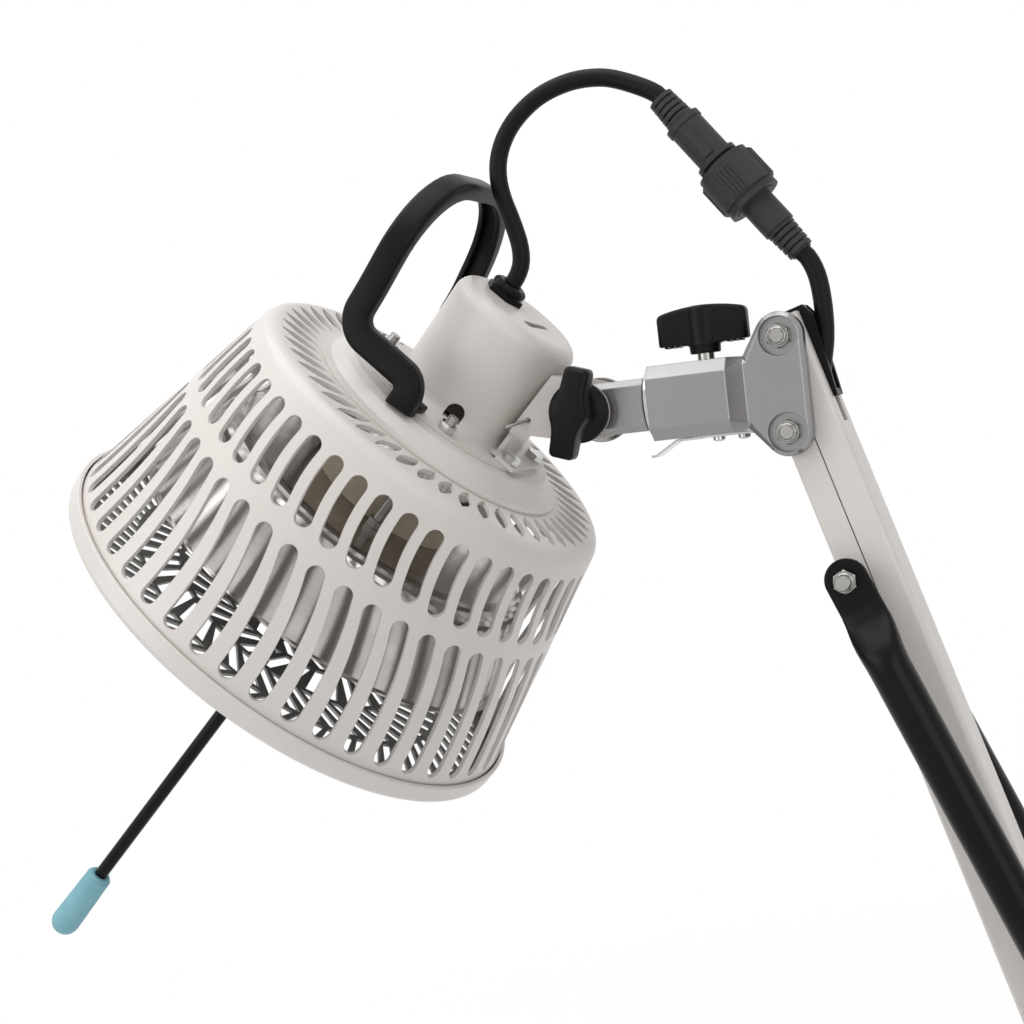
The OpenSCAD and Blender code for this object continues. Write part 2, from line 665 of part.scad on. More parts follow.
// ---- Mounting plate and the studs that hang the heater ----
module mounting_plate() color(white) at_head() difference() {
    rotate_extrude($fn = 96) polygon([
        [12, plate_top - neck_t], [57.5, plate_top - neck_t], [60.4, plate_top - 3.4],
        [plate_r - 2.4, cage_h + 1.8], [plate_r - 2.4, cage_h + 0.1], [plate_r + 4, cage_h + 0.1],
        [plate_r + 4, cage_h + 1.3], [plate_r, cage_h + 2], [61.8, plate_top - 2.4],
        [58.6, plate_top], [12, plate_top]]);
    round_neck(concat(long_studs, short_studs)) translate([0, 0, plate_top - 5])
        cylinder(r = 2.5 + hole_gap, h = 9);
    each_side() translate([foot_screw_v, foot_screw_y, plate_top - 5])
        cylinder(r = 2.5 + hole_gap, h = 9);
}
module plate_studs() color(steel) at_head() {
    round_neck(long_studs) translate([0, 0, bowl_back_h - bowl_t - 2])
        cylinder(r = 2.5, h = plate_top + neck_t + 8 - bowl_back_h + bowl_t + 2);
    round_neck(short_studs) translate([0, 0, plate_top - neck_t - 4])
        cylinder(r = 2.5, h = 2*neck_t + 12);
}
module stud_nuts() color(steel) at_head() {
    round_neck(long_studs) for (z = [bowl_back_h, plate_top - neck_t - 4]) translate([0, 0, z])
        m5_nut();
    round_neck(short_studs) translate([0, 0, plate_top - neck_t - 4]) m5_nut();
}

// ---- Cage ----
// Curved slot: round-ended band along an arc that starts upright at the origin, climbs by
// rise and drifts sideways by sweep. Drawn with its height along X.
module curved_slot(rise, sweep, w) {
    r = (rise*rise + sweep*sweep)/(2*abs(sweep));
    a = asin(rise/r);
    s = sign(sweep);
    translate([0, s*r]) intersection() {
        difference() {
            circle(r + w/2, $fn = 180);
            circle(r - w/2, $fn = 180);
        }
        polygon([[0, 0], [0, -s*(r + w)], [2*r*sin(a)*1.2, -s*2*r*cos(a)*1.2]]);
    }
    circle(w/2 - 0.05);
    translate([rise, s*(r - r*cos(a))]) circle(w/2 - 0.05);
}
module wall_cut(r, h, az) rotate([0, 0, az]) translate([r - 14, 0, h]) rotate([0, -90, 0])
    mirror([0, 0, 1]) linear_extrude(28) children();
module leaf(chord, w) {
    r = (chord*chord/4 + w*w/4)/w;
    intersection() {
        translate([0, r - w/2]) circle(r, $fn = 96);
        translate([0, w/2 - r]) circle(r, $fn = 96);
    }
}
module cage() color(white) at_head() difference() {
    rotate_extrude($fn = 96) polygon(concat(
        [[foot_r - cage_t, cage_foot_h], [foot_r, cage_foot_h], [foot_r, rim_h]],
        arc(shoulder_c, shoulder_round, cage_taper, 90),
        [[56, cage_h], [56, cage_h - cage_t]],
        flip(arc(shoulder_c, shoulder_round - cage_t, cage_taper, 90)),
        [[foot_r - cage_t, rim_h - cage_t*tan(cage_taper)/2]]));
    step = 360/slot_count;
    for (i = [0:slot_count - 1]) {
        low = low_slot_from + slot_w/2;
        wall_cut(wall_r(40), low, i*step) curved_slot(low_slot_to - low - slot_w/2, -low_sweep, slot_w);
        high = up_slot_to - slot_w/2;
        wall_cut(wall_r(104), high, i*step - 2.6) mirror([1, 0, 0])
            curved_slot(high - up_slot_from - slot_w/2, up_sweep, slot_w);
    }
    span = vent_out - vent_in;
    for (i = [0:vent_count - 1]) rotate([0, 0, i*360/vent_count])
        translate([(vent_out + vent_in)/2, 0, cage_h - 5]) linear_extrude(10)
            rotate(-atan(vent_swirl/span)) leaf(norm([span, vent_swirl]), vent_w);
}

// ---- Rim ring and guard ----
module rim_ring() color(white) at_head() rotate_extrude($fn = 96) polygon(concat(
    [[rim_r - 9, 0]], arc([rim_r - 3.5, 3.5], 3.5, 270, 360),
    [[rim_r, rim_h - 0.6], [rim_r - 0.6, rim_h], [rim_r - ring_t, rim_h], [rim_r - ring_t, ring_t],
     [rim_r - 9, ring_t]]));
guard_r = foot_r - cage_t - 0.3;
hub_r = 14;
function row_in(k) = hub_r + 4 + k*(guard_r - 7 - hub_r - 4)/guard_rows;
// Slot between two radii, its outer end turned on round the axis
module slanted(r0, r1, half, turn) {
    out = [cos(turn), sin(turn)];
    on = [-sin(turn), cos(turn)];
    polygon([[r0, -half], [r0, half], r1*out + half*on, r1*out - half*on]);
}
module front_guard() color(cast_grey) at_head() translate([0, 0, ring_t + 0.05]) difference() {
    linear_extrude(guard_t) difference() {
        circle(guard_r, $fn = 96);
        for (k = [0:guard_rows - 1]) {
            depth = row_in(1) - row_in(0) - 2.6;
            side = guard_slot/cos(guard_slant);
            n = floor(2*PI*row_in(k)/(side + guard_bar));
            turn = (k % 2 == 0 ? 1 : -1)*tan(guard_slant)*depth/(row_in(k) + depth/2)*180/PI;
            for (i = [0:n - 1]) rotate(i*360/n)
                slanted(row_in(k), row_in(k) + depth, side/2, turn);
        }
    }
    translate([0, 0, -1]) cylinder(r = rod_d/2 + 0.1, h = guard_t + 2);
}

// ---- Reflector and heater ----
bowl_t = 1;
module reflector() color(bright) at_head() difference() {
    rotate_extrude($fn = 96) polygon(concat(
        [[bowl_mouth_r, bowl_mouth_h], [bowl_mouth_r, bowl_mouth_h + bowl_t],
         [bowl_mouth_r - 3, bowl_mouth_h + bowl_t]],
        arc([80, bowl_back_h - 12], 12, 20, 90),
        [[20, bowl_back_h], [20, bowl_back_h - bowl_t]],
        flip(arc([80, bowl_back_h - 12], 12 - bowl_t, 20, 90)),
        [[bowl_mouth_r - 3 - bowl_t, bowl_mouth_h]]));
    round_neck(long_studs) translate([0, 0, bowl_back_h - 5]) cylinder(r = 2.5 + hole_gap, h = 9);
}
module mineral_plate() color(dark_grey) at_head() rotate_extrude($fn = 96)
    polygon([[0, 44], [mineral_r - 3, 44], [mineral_r, 46], [mineral_r, 51], [0, 51]]);
module heater_element() color(beige) at_head() rotate_extrude($fn = 96)
    polygon([[0, 51.1], [mineral_r - 4, 51.1], [mineral_r - 4, 58], [mineral_r - 10, 62], [0, 62]]);
module ceramic_stack() color(beige) at_head() difference() {
    union() {
        translate([0, 0, 62.1]) cylinder(r = 18, h = bowl_back_h - 62.1);
        translate([0, 0, bowl_back_h + 0.1]) cylinder(r = stack_r, h = 26);
    }
    translate([0, 0, 60]) cylinder(r = 5, h = 60);
}
module insulation_disc() color(cast_grey) at_head() difference() {
    translate([0, 0, bowl_back_h + 26.2]) cylinder(r = stack_r - 3,
        h = plate_top - neck_t - bowl_back_h - 26.3);
    translate([0, 0, bowl_back_h]) cylinder(r = 5, h = 80);
}
module terminal_block() color(beige) at_head() difference() {
    translate([-15, -9, plate_top]) cube([30, 18, 20]);
    for (x = [-8, 0, 8]) translate([x, 0, plate_top + 6]) cylinder(r = 2.4, h = 20);
}

// ---- Handle ----
leg_y = handle_w/2;
leg_lo = cage_h + 16.5;
leg_hi = leg_lo + handle_band;
knee_in = 7;
knee_out = 19;
groove_lip = 3;
lug_z = plate_top + neck_t + 0.05;
lug_t = 4;
// Closed side of the bow: straight up from the knees, then round its two corners
module bow_outline(inset) intersection() {
    r = bow_r - inset;
    c = [bow_r*0.18, bow_rise - bow_r];
    foot = [leg_y - inset, 0];
    t = tangent(foot, c, r, 1);
    union() {
        polygon([[-foot[0], -1 - inset], [foot[0], -1 - inset], foot, t, [c[0], c[1] + r],
                 [-c[0], c[1] + r], [-t[0], t[1]], [-foot[0], 0]]);
        for (s = [-1, 1]) translate([s*c[0], c[1]]) circle(r + 0.03, $fn = 96);
    }
    translate([-leg_y - 1, -1 - inset]) square([2*leg_y + 2, bow_rise + 20]);
}
module leg_outline(inset) {
    i = inset;
    back = -knee_back - handle_band/2;
    rise = leg_hi + knee_in;
    polygon(concat([[7 - i, plate_top + i], [3 - i, plate_top + 8]],
        arc([-14, leg_hi - 15], 15 - i, 35, 90), [[back + handle_band + knee_in, leg_hi - i]],
        flip(arc([back + handle_band + knee_in, rise], knee_in + i, 180, 270)),
        [[back + i, rise]], arc([back + knee_out, leg_lo + knee_out], knee_out - i, 180, 270),
        [[-20, leg_lo + i], [-15, leg_lo - 3 + i], [-13 + i, plate_top + i]]));
}
module handle() color(black) at_head() {
    // bow, with a groove along its inner side
    translate([-knee_back, 0, leg_hi]) rotate([0, -bow_lean, 0]) difference() {
        bar(-handle_band/2, handle_band/2) bow_outline(0);
        bar(-handle_band, handle_band) bow_outline(handle_t);
        bar(groove_lip - handle_band/2, handle_band/2 - groove_lip) bow_outline(4);
    }
    // legs, from the bow down and in to the mounting plate
    each_side() difference() {
        slab(leg_y - handle_t, leg_y) leg_outline(0);
        slab(leg_y - handle_t - 1, leg_y - 4) intersection() {
            leg_outline(groove_lip);
            translate([-80, leg_lo]) square([100, leg_hi - leg_lo + 30]);
        }
    }
    // lugs that seat on the neck's flange
    each_side() translate([-12, leg_y - handle_t - 9.9, lug_z]) cube([16, 10, lug_t]);
}
module handle_screws() color(steel) at_head() each_side()
    translate([-4, leg_y - handle_t - 5, lug_z + lug_t]) {
        cylinder(r = 3.4, h = 1.4);
        translate([0, 0, 1.4]) cylinder(r1 = 3.4, r2 = 2.2, h = 0.9);
    }

// ---- Cable gland and cord ----
module cable_gland() color(black) at_head() translate([gland_v, 0, neck_h]) difference() {
    union() {
        cylinder(d = 18/cos(30), h = 2.6, $fn = 6);
        translate([0, 0, 2.5]) cylinder(r = 8, h = 1);
        translate([0, 0, -8]) cylinder(r = 5.9, h = 9);
    }
    translate([0, 0, -9]) cylinder(r = cable_d/2 + 0.05, h = 20);
}
module gland_nut() color(black) at_head() translate([gland_v, 0, neck_h]) difference() {
    union() {
        translate([0, 0, 3.5]) cylinder(r = 8.9, h = 2.3);
        translate([0, 0, 5.8]) cylinder(r1 = 8.9, r2 = 6.4, h = gland_top - 5.8);
    }
    translate([0, 0, 3]) cylinder(r = cable_d/2 + 0.05, h = 12);
}
cable_x = rear_edge - channel_t - cable_d/2 - 0.1;
gland_top = 7.5;
gland_exit = tilt_pivot + [
    (gland_v - pivot_v)*cos(head_tilt) + (neck_h + gland_top - pivot_h)*sin(head_tilt), 0,
    -(gland_v - pivot_v)*sin(head_tilt) + (neck_h + gland_top - pivot_h)*cos(head_tilt)];
head_dir = [sin(head_tilt), 0, cos(head_tilt)];
plug_start = [-184.7, 0, 623.8];
plug_lean = 143.8;
plug_dir = [sin(plug_lean), 0, cos(plug_lean)];
plug_end = plug_start + 98.8*plug_dir;
// Routes of the cord's two free runs, x and z
head_route = [[-264.4, 553.2], [-262.4, 558], [-261.9, 563.5], [-262.6, 570], [-265, 580],
              [-267.8, 590], [-269, 600], [-267.5, 610], [-262.5, 620], [-254, 628.8],
              [-242, 635.8], [-227, 639.3], [-212, 638.5], [-199.5, 634]];
arm_route = [[-120.5, 531], [-119.5, 517], [-120.3, 503.5], [-122.8, 491], [-123.6, 479.5]];
function route(pts) = [for (p = pts) [p[0], 0, p[1]]];
function along(p) = [for (i = [0:len(p) - 1])
    let (t = p[min(i + 1, len(p) - 1)] - p[max(i - 1, 0)]) t/norm(t)];
// Closed tube of the given radius through points of the plane y = 0
module tube(p, r, sides = 10) {
    t = along(p);
    n = len(p);
    verts = [for (i = [0:n - 1], k = [0:sides - 1]) let (a = 360*k/sides)
        p[i] + r*(cos(a)*[-t[i][2], 0, t[i][0]] + [0, r > 0 ? sin(a) : 0, 0])];
    faces = concat([[for (k = [0:sides - 1]) k]],
        [for (i = [0:n - 2], k = [0:sides - 1]) let (m = (k + 1) % sides)
            [i*sides + k, (i + 1)*sides + k, (i + 1)*sides + m, i*sides + m]],
        [[for (k = [sides - 1:-1:0]) (n - 1)*sides + k]]);
    polyhedron(verts, faces, convexity = 6);
}
module cord_head() color(black)
    tube(concat([gland_exit - 18*head_dir, gland_exit], route(head_route),
                [plug_start - 4*plug_dir, plug_start]), cable_d/2);
module cord_arm() color(black)
    tube(concat([plug_end, plug_end + 5*plug_dir], route(arm_route),
                [for (z = [arm_len - 43, each [arm_len - 60:-20:40]])
                    rear_foot + cable_x*[cos(arm_lean), 0, sin(arm_lean)] + z*arm_dir]), cable_d/2);

// ---- In-line connector ----
relief = 15.7;
plug_len = 27.6;
nut_len = 23.3;
sock_len = 17.3;
module at_plug(d = 0) translate(plug_start) rotate([0, plug_lean, 0]) translate([0, 0, d]) children();
// Ribbed strain relief of five collars
module ribs(r0, r1, len) {
    n = 5;
    cylinder(r = min(r0, r1) - 1.3, h = len);
    for (i = [0:n - 1]) translate([0, 0, i*len/n]) cylinder(r = r0 + (r1 - r0)*i/(n - 1), h = len/n - 1.1);
}
module connector_plug() color(dark_grey) at_plug() {
    ribs(6.4, 7.2, relief);
    translate([0, 0, relief - 0.5]) cylinder(r = 9.2, h = 3);
    translate([0, 0, relief + 2]) cylinder(r = 8.6, h = plug_len - 6);
    translate([0, 0, relief + plug_len - 4.5]) cylinder(r = 10.4, h = 2.2);
    translate([0, 0, relief + plug_len - 2.5]) cylinder(r = 8, h = 14);
    each_side() translate([-2.5, 7.6, relief + 6]) cube([5, 1.6, plug_len - 12]);
}
module connector_nut() color(dark_grey) at_plug(relief + plug_len) difference() {
    union() {
        cylinder(r = 13.4, h = nut_len);
        translate([0, 0, 3]) cylinder(r = 14.5, h = nut_len - 7);
        for (a = [0:3], k = [-2:2]) rotate([0, 0, a*90 + k*8]) translate([14.2, 0, 3.6])
            cylinder(r = 0.9, h = nut_len - 8.4, $fn = 14);
    }
    translate([0, 0, -1]) cylinder(r = 8 + seat, h = nut_len + 2);
    translate([0, 0, 12]) cylinder(r = 10.5 + fit, h = nut_len);
}
module connector_socket() color(dark_grey) at_plug(relief + plug_len) {
    translate([0, 0, 12]) cylinder(r = 10.5, h = nut_len - 11.6);
    translate([0, 0, nut_len + 0.3]) cylinder(r = 8, h = sock_len - 1);
    translate([0, 0, nut_len + sock_len - 0.8]) ribs(7.2, 6.4, 98.8 - relief - plug_len - nut_len
        - sock_len + 0.8);
}

// ---- Distance rod ----
module distance_rod() color(black) at_head() translate([0, 0, -rod_reach + 6])
    cylinder(d = rod_d, h = rod_reach + 4);
module rod_nut() color(black) at_head() difference() {
    union() {
        translate([0, 0, ring_t - 6.05]) cylinder(r1 = 8, r2 = 10, h = 6);
        translate([0, 0, ring_t + guard_t + 0.15]) cylinder(d = 13/cos(30), h = 5, $fn = 6);
    }
    translate([0, 0, -10]) cylinder(r = rod_d/2 + 0.1, h = 30);
}
module rod_tip() color(blue) at_head() difference() {
    rotate_extrude() polygon(concat(
        [[0, -rod_reach]], arc([0, tip_d/2 - rod_reach], tip_d/2, 270, 360, 8),
        [[tip_d/2 - 0.8, tip_len - rod_reach - 2], [tip_d/2 - 2.4, tip_len - rod_reach],
         [0, tip_len - rod_reach]]));
    translate([0, 0, 5.9 - rod_reach]) cylinder(r = rod_d/2 + 0.05, h = tip_len);
}

mast_yoke();
lower_pivot_bolts();
lower_pivot_nuts();
lower_washers();
front_channel();
strut_bolt();
strut_nuts();
strut_spacers();
rear_channel();
cable_clip();
clevis_bracket();
pivot_bolts();
pivot_nuts();
pivot_washers();
swivel_bush();
latch_clamp();
latch_screws();
latch_leaf();
roll_knob();
roll_stud();
swivel_shaft();
connector_plug();
connector_socket();
connector_nut();
strut_tubes();
strut_caps();
strut_rods();
tilt_bracket();
bracket_screws();
tilt_bolt();
tilt_knob();
stop_wire();
neck_housing();
neck_nuts();
mounting_plate();
plate_studs();
stud_nuts();
cage();
rim_ring();
front_guard();
reflector();
mineral_plate();
heater_element();
ceramic_stack();
insulation_disc();
terminal_block();
handle();
handle_screws();
cable_gland();
gland_nut();
distance_rod();
rod_nut();
rod_tip();
cord_head();
cord_arm();
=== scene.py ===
# %% [markdown]
# # Infrared pet dryer on a balanced arm
# The imported solids are the fixed frame of this scene: every bolt, slot and tube is already in
# its real place and size, in metres. The lesson adds what solids can't show: cords, a soft
# moulded handle, threads, and a finish for every surface.

# %% Load the frame
import json
import math
import bpy
from mathutils import Matrix, Vector


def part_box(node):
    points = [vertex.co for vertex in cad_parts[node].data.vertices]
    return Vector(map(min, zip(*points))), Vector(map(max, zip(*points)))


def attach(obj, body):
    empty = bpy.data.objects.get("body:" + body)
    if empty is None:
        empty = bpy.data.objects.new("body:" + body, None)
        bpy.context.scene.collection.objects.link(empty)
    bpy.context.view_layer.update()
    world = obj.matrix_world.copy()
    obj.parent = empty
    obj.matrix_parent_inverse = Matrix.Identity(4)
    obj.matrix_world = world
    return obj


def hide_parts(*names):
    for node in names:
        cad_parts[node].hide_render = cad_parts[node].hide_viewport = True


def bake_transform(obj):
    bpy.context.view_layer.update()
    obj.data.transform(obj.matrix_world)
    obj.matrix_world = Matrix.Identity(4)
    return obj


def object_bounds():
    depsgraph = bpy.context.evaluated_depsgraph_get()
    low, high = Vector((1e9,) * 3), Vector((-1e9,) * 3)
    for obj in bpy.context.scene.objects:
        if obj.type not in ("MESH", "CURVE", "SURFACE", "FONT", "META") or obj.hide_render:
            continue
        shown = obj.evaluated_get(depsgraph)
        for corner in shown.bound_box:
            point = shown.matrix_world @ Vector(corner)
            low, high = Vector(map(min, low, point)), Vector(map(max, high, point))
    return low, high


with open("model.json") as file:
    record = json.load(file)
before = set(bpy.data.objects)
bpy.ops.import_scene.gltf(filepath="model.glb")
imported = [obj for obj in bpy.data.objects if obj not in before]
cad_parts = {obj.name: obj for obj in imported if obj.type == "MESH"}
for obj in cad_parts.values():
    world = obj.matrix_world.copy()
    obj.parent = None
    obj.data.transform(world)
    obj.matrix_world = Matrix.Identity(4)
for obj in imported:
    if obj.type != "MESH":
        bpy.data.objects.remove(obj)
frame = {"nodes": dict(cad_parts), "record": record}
cad_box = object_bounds()
nodes = frame["nodes"]

# %% [markdown]
# ## Camera
# The lamp is looked at from its own height and from a little in front of the arm, with a long
# lens that keeps the shade from bulging. A camera looks along its own -Z, so it is placed by
# the vector that points back from the object, with the world's upright as its second hint.

# %% Place the camera
def aim(spot, back, upright):
    """A matrix at spot whose +Z points along back, with +Y as near upright as it can be."""
    z = Vector(back).normalized()
    x = Vector(upright).cross(z).normalized()
    y = z.cross(x)
    m = Matrix((x, y, z)).transposed().to_4x4()
    m.translation = Vector(spot)
    return m

def into_scene(name, data):
    """Puts new data into the scene as an object of the same name."""
    made = bpy.data.objects.new(name, data)
    bpy.context.scene.collection.objects.link(made)
    return made

camera_spot = (0.0264, -0.8300, 0.4809)
camera_back = (0.348, -0.937, 0.048)
camera_upright = (0.091, 0.085, 0.9925)
camera = into_scene("camera", bpy.data.cameras.new("camera"))
camera.matrix_world = aim(camera_spot, camera_back, camera_upright)
camera.data.lens = 63.54
camera.data.clip_end = 40
bpy.context.scene.camera = camera
print("camera lens", camera.data.lens, "mm")

# %% [markdown]
# ## Stations
# The head leans on its tilt bolt, so it gets one matrix: a piece can be drawn upright in plain
# numbers, in millimetres, and then set in place in one step.

# %% Matrix of the head
MM = 0.001
head_tilt = math.radians(45.9)
tilt_pivot = Vector((-235.776, 0, 483.020)) * MM
pivot_on_head = Vector((56.5, 0, 188.6)) * MM
on_head = (Matrix.Translation(tilt_pivot) @ Matrix.Rotation(head_tilt, 4, "Y")
           @ Matrix.Translation(-pivot_on_head))
head_up = on_head.to_3x3() @ Vector((0, 0, 1))
print("head leans", round(math.degrees(head_tilt), 1), "degrees")

# %% [markdown]
# The arm is a pair of bars and a strut on pivot bolts. The pivots follow from their feet and from
# the lean and length of the bars, and are worked out once for the nuts, threads and struts.

# %% Pivots of the arm
arm_lean = math.radians(16.2)
arm_up = Vector((-math.sin(arm_lean), 0, math.cos(arm_lean)))
arm_back = Vector((math.cos(arm_lean), 0, math.sin(arm_lean)))
arm_len, strut_reach = 420 * MM, 348.7 * MM
front_foot = Vector((-20, 0, 60)) * MM
rear_foot = Vector((-20, 0, 103.5)) * MM
strut_foot = Vector((21.5, 0, 60)) * MM
front_top = front_foot + arm_up * arm_len
rear_top = rear_foot + arm_up * arm_len
strut_head = front_foot + arm_up * strut_reach
print("arm pivots", round(arm_len / MM), "mm apart")

# %% [markdown]
# ## A tube that follows a path
# A cable is a round profile carried along a line. A curve's own bevel could do it, but Geometry
# Nodes keep the sizes as named inputs, and the same tree serves every cable: the line is
# resampled to even steps, the profile is swept along it, and the skin gets its material.

# %% Geometry Nodes: cable along a line
def new_tree(name, sizes):
    tree = bpy.data.node_groups.new(name, "GeometryNodeTree")
    face = tree.interface
    face.new_socket("Geometry", in_out="INPUT", socket_type="NodeSocketGeometry")
    for label, kind in sizes:
        face.new_socket(label, in_out="INPUT", socket_type="NodeSocket" + kind)
    face.new_socket("Geometry", in_out="OUTPUT", socket_type="NodeSocketGeometry")
    return tree

def add(tree, kind, values=(), **props):
    """A new node, with these numbers on its sockets and these settings on itself."""
    n = tree.nodes.new(kind)
    for k, v in props.items():
        setattr(n, k, v)
    for k, v in dict(values).items():
        n.inputs[k].default_value = v
    return n

def link(tree, *pairs):
    for a, b in pairs:
        tree.links.new(a, b)

def cable_tree():
    t = new_tree("cable_along_line", [("Radius", "Float"), ("Step", "Float"),
                                      ("Finish", "Material")])
    start, end = add(t, "NodeGroupInput"), add(t, "NodeGroupOutput")
    even = add(t, "GeometryNodeResampleCurve", mode="LENGTH")
    ring = add(t, "GeometryNodeCurvePrimitiveCircle", {"Resolution": 32}, mode="RADIUS")
    skin = add(t, "GeometryNodeCurveToMesh", {"Fill Caps": True})
    smooth = add(t, "GeometryNodeSetShadeSmooth")
    real = add(t, "GeometryNodeRealizeInstances")
    paint = add(t, "GeometryNodeSetMaterial")
    link(t, (start.outputs["Geometry"], even.inputs["Curve"]),
         (start.outputs["Step"], even.inputs["Length"]),
         (start.outputs["Radius"], ring.inputs["Radius"]),
         (even.outputs["Curve"], skin.inputs["Curve"]),
         (ring.outputs["Curve"], skin.inputs["Profile Curve"]),
         (skin.outputs["Mesh"], smooth.inputs["Geometry"]),
         (smooth.outputs["Geometry"], real.inputs["Geometry"]),
         (real.outputs["Geometry"], paint.inputs["Geometry"]),
         (start.outputs["Finish"], paint.inputs["Material"]),
         (paint.outputs["Geometry"], end.inputs["Geometry"]))
    return t

def run_tree(data, tree, values, name):
    """Runs a tree once on a curve or mesh and keeps the result as a plain mesh object."""
    source = into_scene(name + "_source", data)
    mod = source.modifiers.new("made", "NODES")
    mod.node_group = tree
    sockets = {s.name: s.identifier for s in tree.interface.items_tree
               if s.item_type == "SOCKET" and s.in_out == "INPUT"}
    for label, value in values.items():
        mod[sockets[label]] = value
    view = bpy.context.evaluated_depsgraph_get()
    mesh = bpy.data.meshes.new_from_object(source.evaluated_get(view), depsgraph=view)
    mesh.name = name
    source.modifiers.remove(mod)
    bpy.data.objects.remove(source)
    return into_scene(name, mesh)

# %% [markdown]
# ## Smooth paths
# A route is a few given points. A spline that passes through every point (Catmull-Rom) rounds
# the corners without moving them, and its own length is measured as it is drawn.

# %% Path helpers
def through(points, steps=8):
    """The spline through these points, as a polyline with so many steps from point to point."""
    p = [points[0] * 2 - points[1], *points, points[-1] * 2 - points[-2]]
    out = []
    for a, b, c, d in zip(p, p[1:], p[2:], p[3:]):
        for i in range(steps):
            t = i / steps
            out.append(0.5 * (2 * b + (c - a) * t + (2 * a - 5 * b + 4 * c - d) * t * t
                              + (3 * b - a - 3 * c + d) * t ** 3))
    return out + [points[-1].copy()]

def run_length(points):
    return sum((b - a).length for a, b in zip(points, points[1:]))

def line_curve(lines, name):
    """Polylines as one curve, which is what a Geometry Nodes tree can walk along."""
    data = bpy.data.curves.new(name, "CURVE")
    data.dimensions = "3D"
    for points in lines:
        s = data.splines.new("POLY")
        s.points.add(len(points) - 1)
        for q, p in zip(s.points, points):
            q.co = (*p, 1)
    return data

# %% [markdown]
# ## Shared shader groups
# Three effects turn up in nearly every finish, and each is a group that all finishes share. The
# first softens the sharp lines of the solids in the light alone, and marks the edges: where hands
# rub, and where zinc steel gets a painted dark reflection. A true bevel could do the same, but it
# would cost many faces on every solid.

# %% Shader group: soft edges
def shader_group(name, ins, outs):
    g = bpy.data.node_groups.new(name, "ShaderNodeTree")
    for label, kind, value in ins:
        s = g.interface.new_socket(label, in_out="INPUT", socket_type="NodeSocket" + kind)
        if value is not None:
            s.default_value = value
    for label, kind in outs:
        g.interface.new_socket(label, in_out="OUTPUT", socket_type="NodeSocket" + kind)
    return g, add(g, "NodeGroupInput"), add(g, "NodeGroupOutput")

def math_node(tree, op, a, b=None, c=None, clamp=False):
    n = add(tree, "ShaderNodeMath", operation=op, use_clamp=clamp)
    for i, v in enumerate((a, b, c)):
        if v is None:
            continue
        if hasattr(v, "links"):
            tree.links.new(v, n.inputs[i])
        else:
            n.inputs[i].default_value = v
    return n.outputs[0]

def soft_edges_group():
    g, i, o = shader_group("soft_edges", [("Radius", "Float", 0.0005)],
                           [("Normal", "Vector"), ("Edge", "Float")])
    bevel = add(g, "ShaderNodeBevel", samples=4)
    plain = add(g, "ShaderNodeNewGeometry")
    dot = add(g, "ShaderNodeVectorMath", operation="DOT_PRODUCT")
    turned_away = math_node(g, "SUBTRACT", 1.0, dot.outputs["Value"])
    edge = math_node(g, "MULTIPLY", turned_away, 5.0, clamp=True)
    link(g, (i.outputs["Radius"], bevel.inputs["Radius"]),
         (bevel.outputs["Normal"], dot.inputs[0]), (plain.outputs["Normal"], dot.inputs[1]),
         (bevel.outputs["Normal"], o.inputs["Normal"]), (edge, o.inputs["Edge"]))
    return g

soft_edges = soft_edges_group()

# %% [markdown]
# Moulded, painted and cast faces are never one even colour. Two noises give broad patches and fine
# grain, and a few cells of a cell pattern give rare specks. A painted image would first need an
# unwrapped mesh, and these patterns work on any solid as it is.

# %% Shader group: surface cloud
def surface_cloud_group():
    g, i, o = shader_group("surface_cloud",
                           [("Vector", "Vector", None), ("Broad Scale", "Float", 18.0),
                            ("Grain Scale", "Float", 900.0), ("Speck Scale", "Float", 160.0)],
                           [("Broad", "Float"), ("Grain", "Float"), ("Specks", "Float")])
    for label, out, detail in (("Broad Scale", "Broad", 5.0), ("Grain Scale", "Grain", 2.0)):
        n = add(g, "ShaderNodeTexNoise", {"Detail": detail, "Roughness": 0.55})
        link(g, (i.outputs["Vector"], n.inputs["Vector"]),
             (i.outputs[label], n.inputs["Scale"]))
        spread = add(g, "ShaderNodeMapRange", {"From Min": 0.3, "From Max": 0.7})
        link(g, (n.outputs["Fac"], spread.inputs["Value"]),
             (spread.outputs["Result"], o.inputs[out]))
    speck_size, speck_share = 0.16, 0.28
    cells = add(g, "ShaderNodeTexVoronoi", feature="F1")
    tint = add(g, "ShaderNodeSeparateColor")
    link(g, (i.outputs["Vector"], cells.inputs["Vector"]),
         (i.outputs["Speck Scale"], cells.inputs["Scale"]),
         (cells.outputs["Color"], tint.inputs["Color"]))
    near = math_node(g, "LESS_THAN", cells.outputs["Distance"], speck_size)
    rare = math_node(g, "GREATER_THAN", tint.outputs[0], 1 - speck_share)
    link(g, (math_node(g, "MULTIPLY", near, rare), o.inputs["Specks"]))
    return g

surface_cloud = surface_cloud_group()

# %% [markdown]
# A lathe or a spinning tool leaves rings round an axis. This noise is read only by the distance
# from the axis and the height along it, so it stays the same all the way round and draws rings.

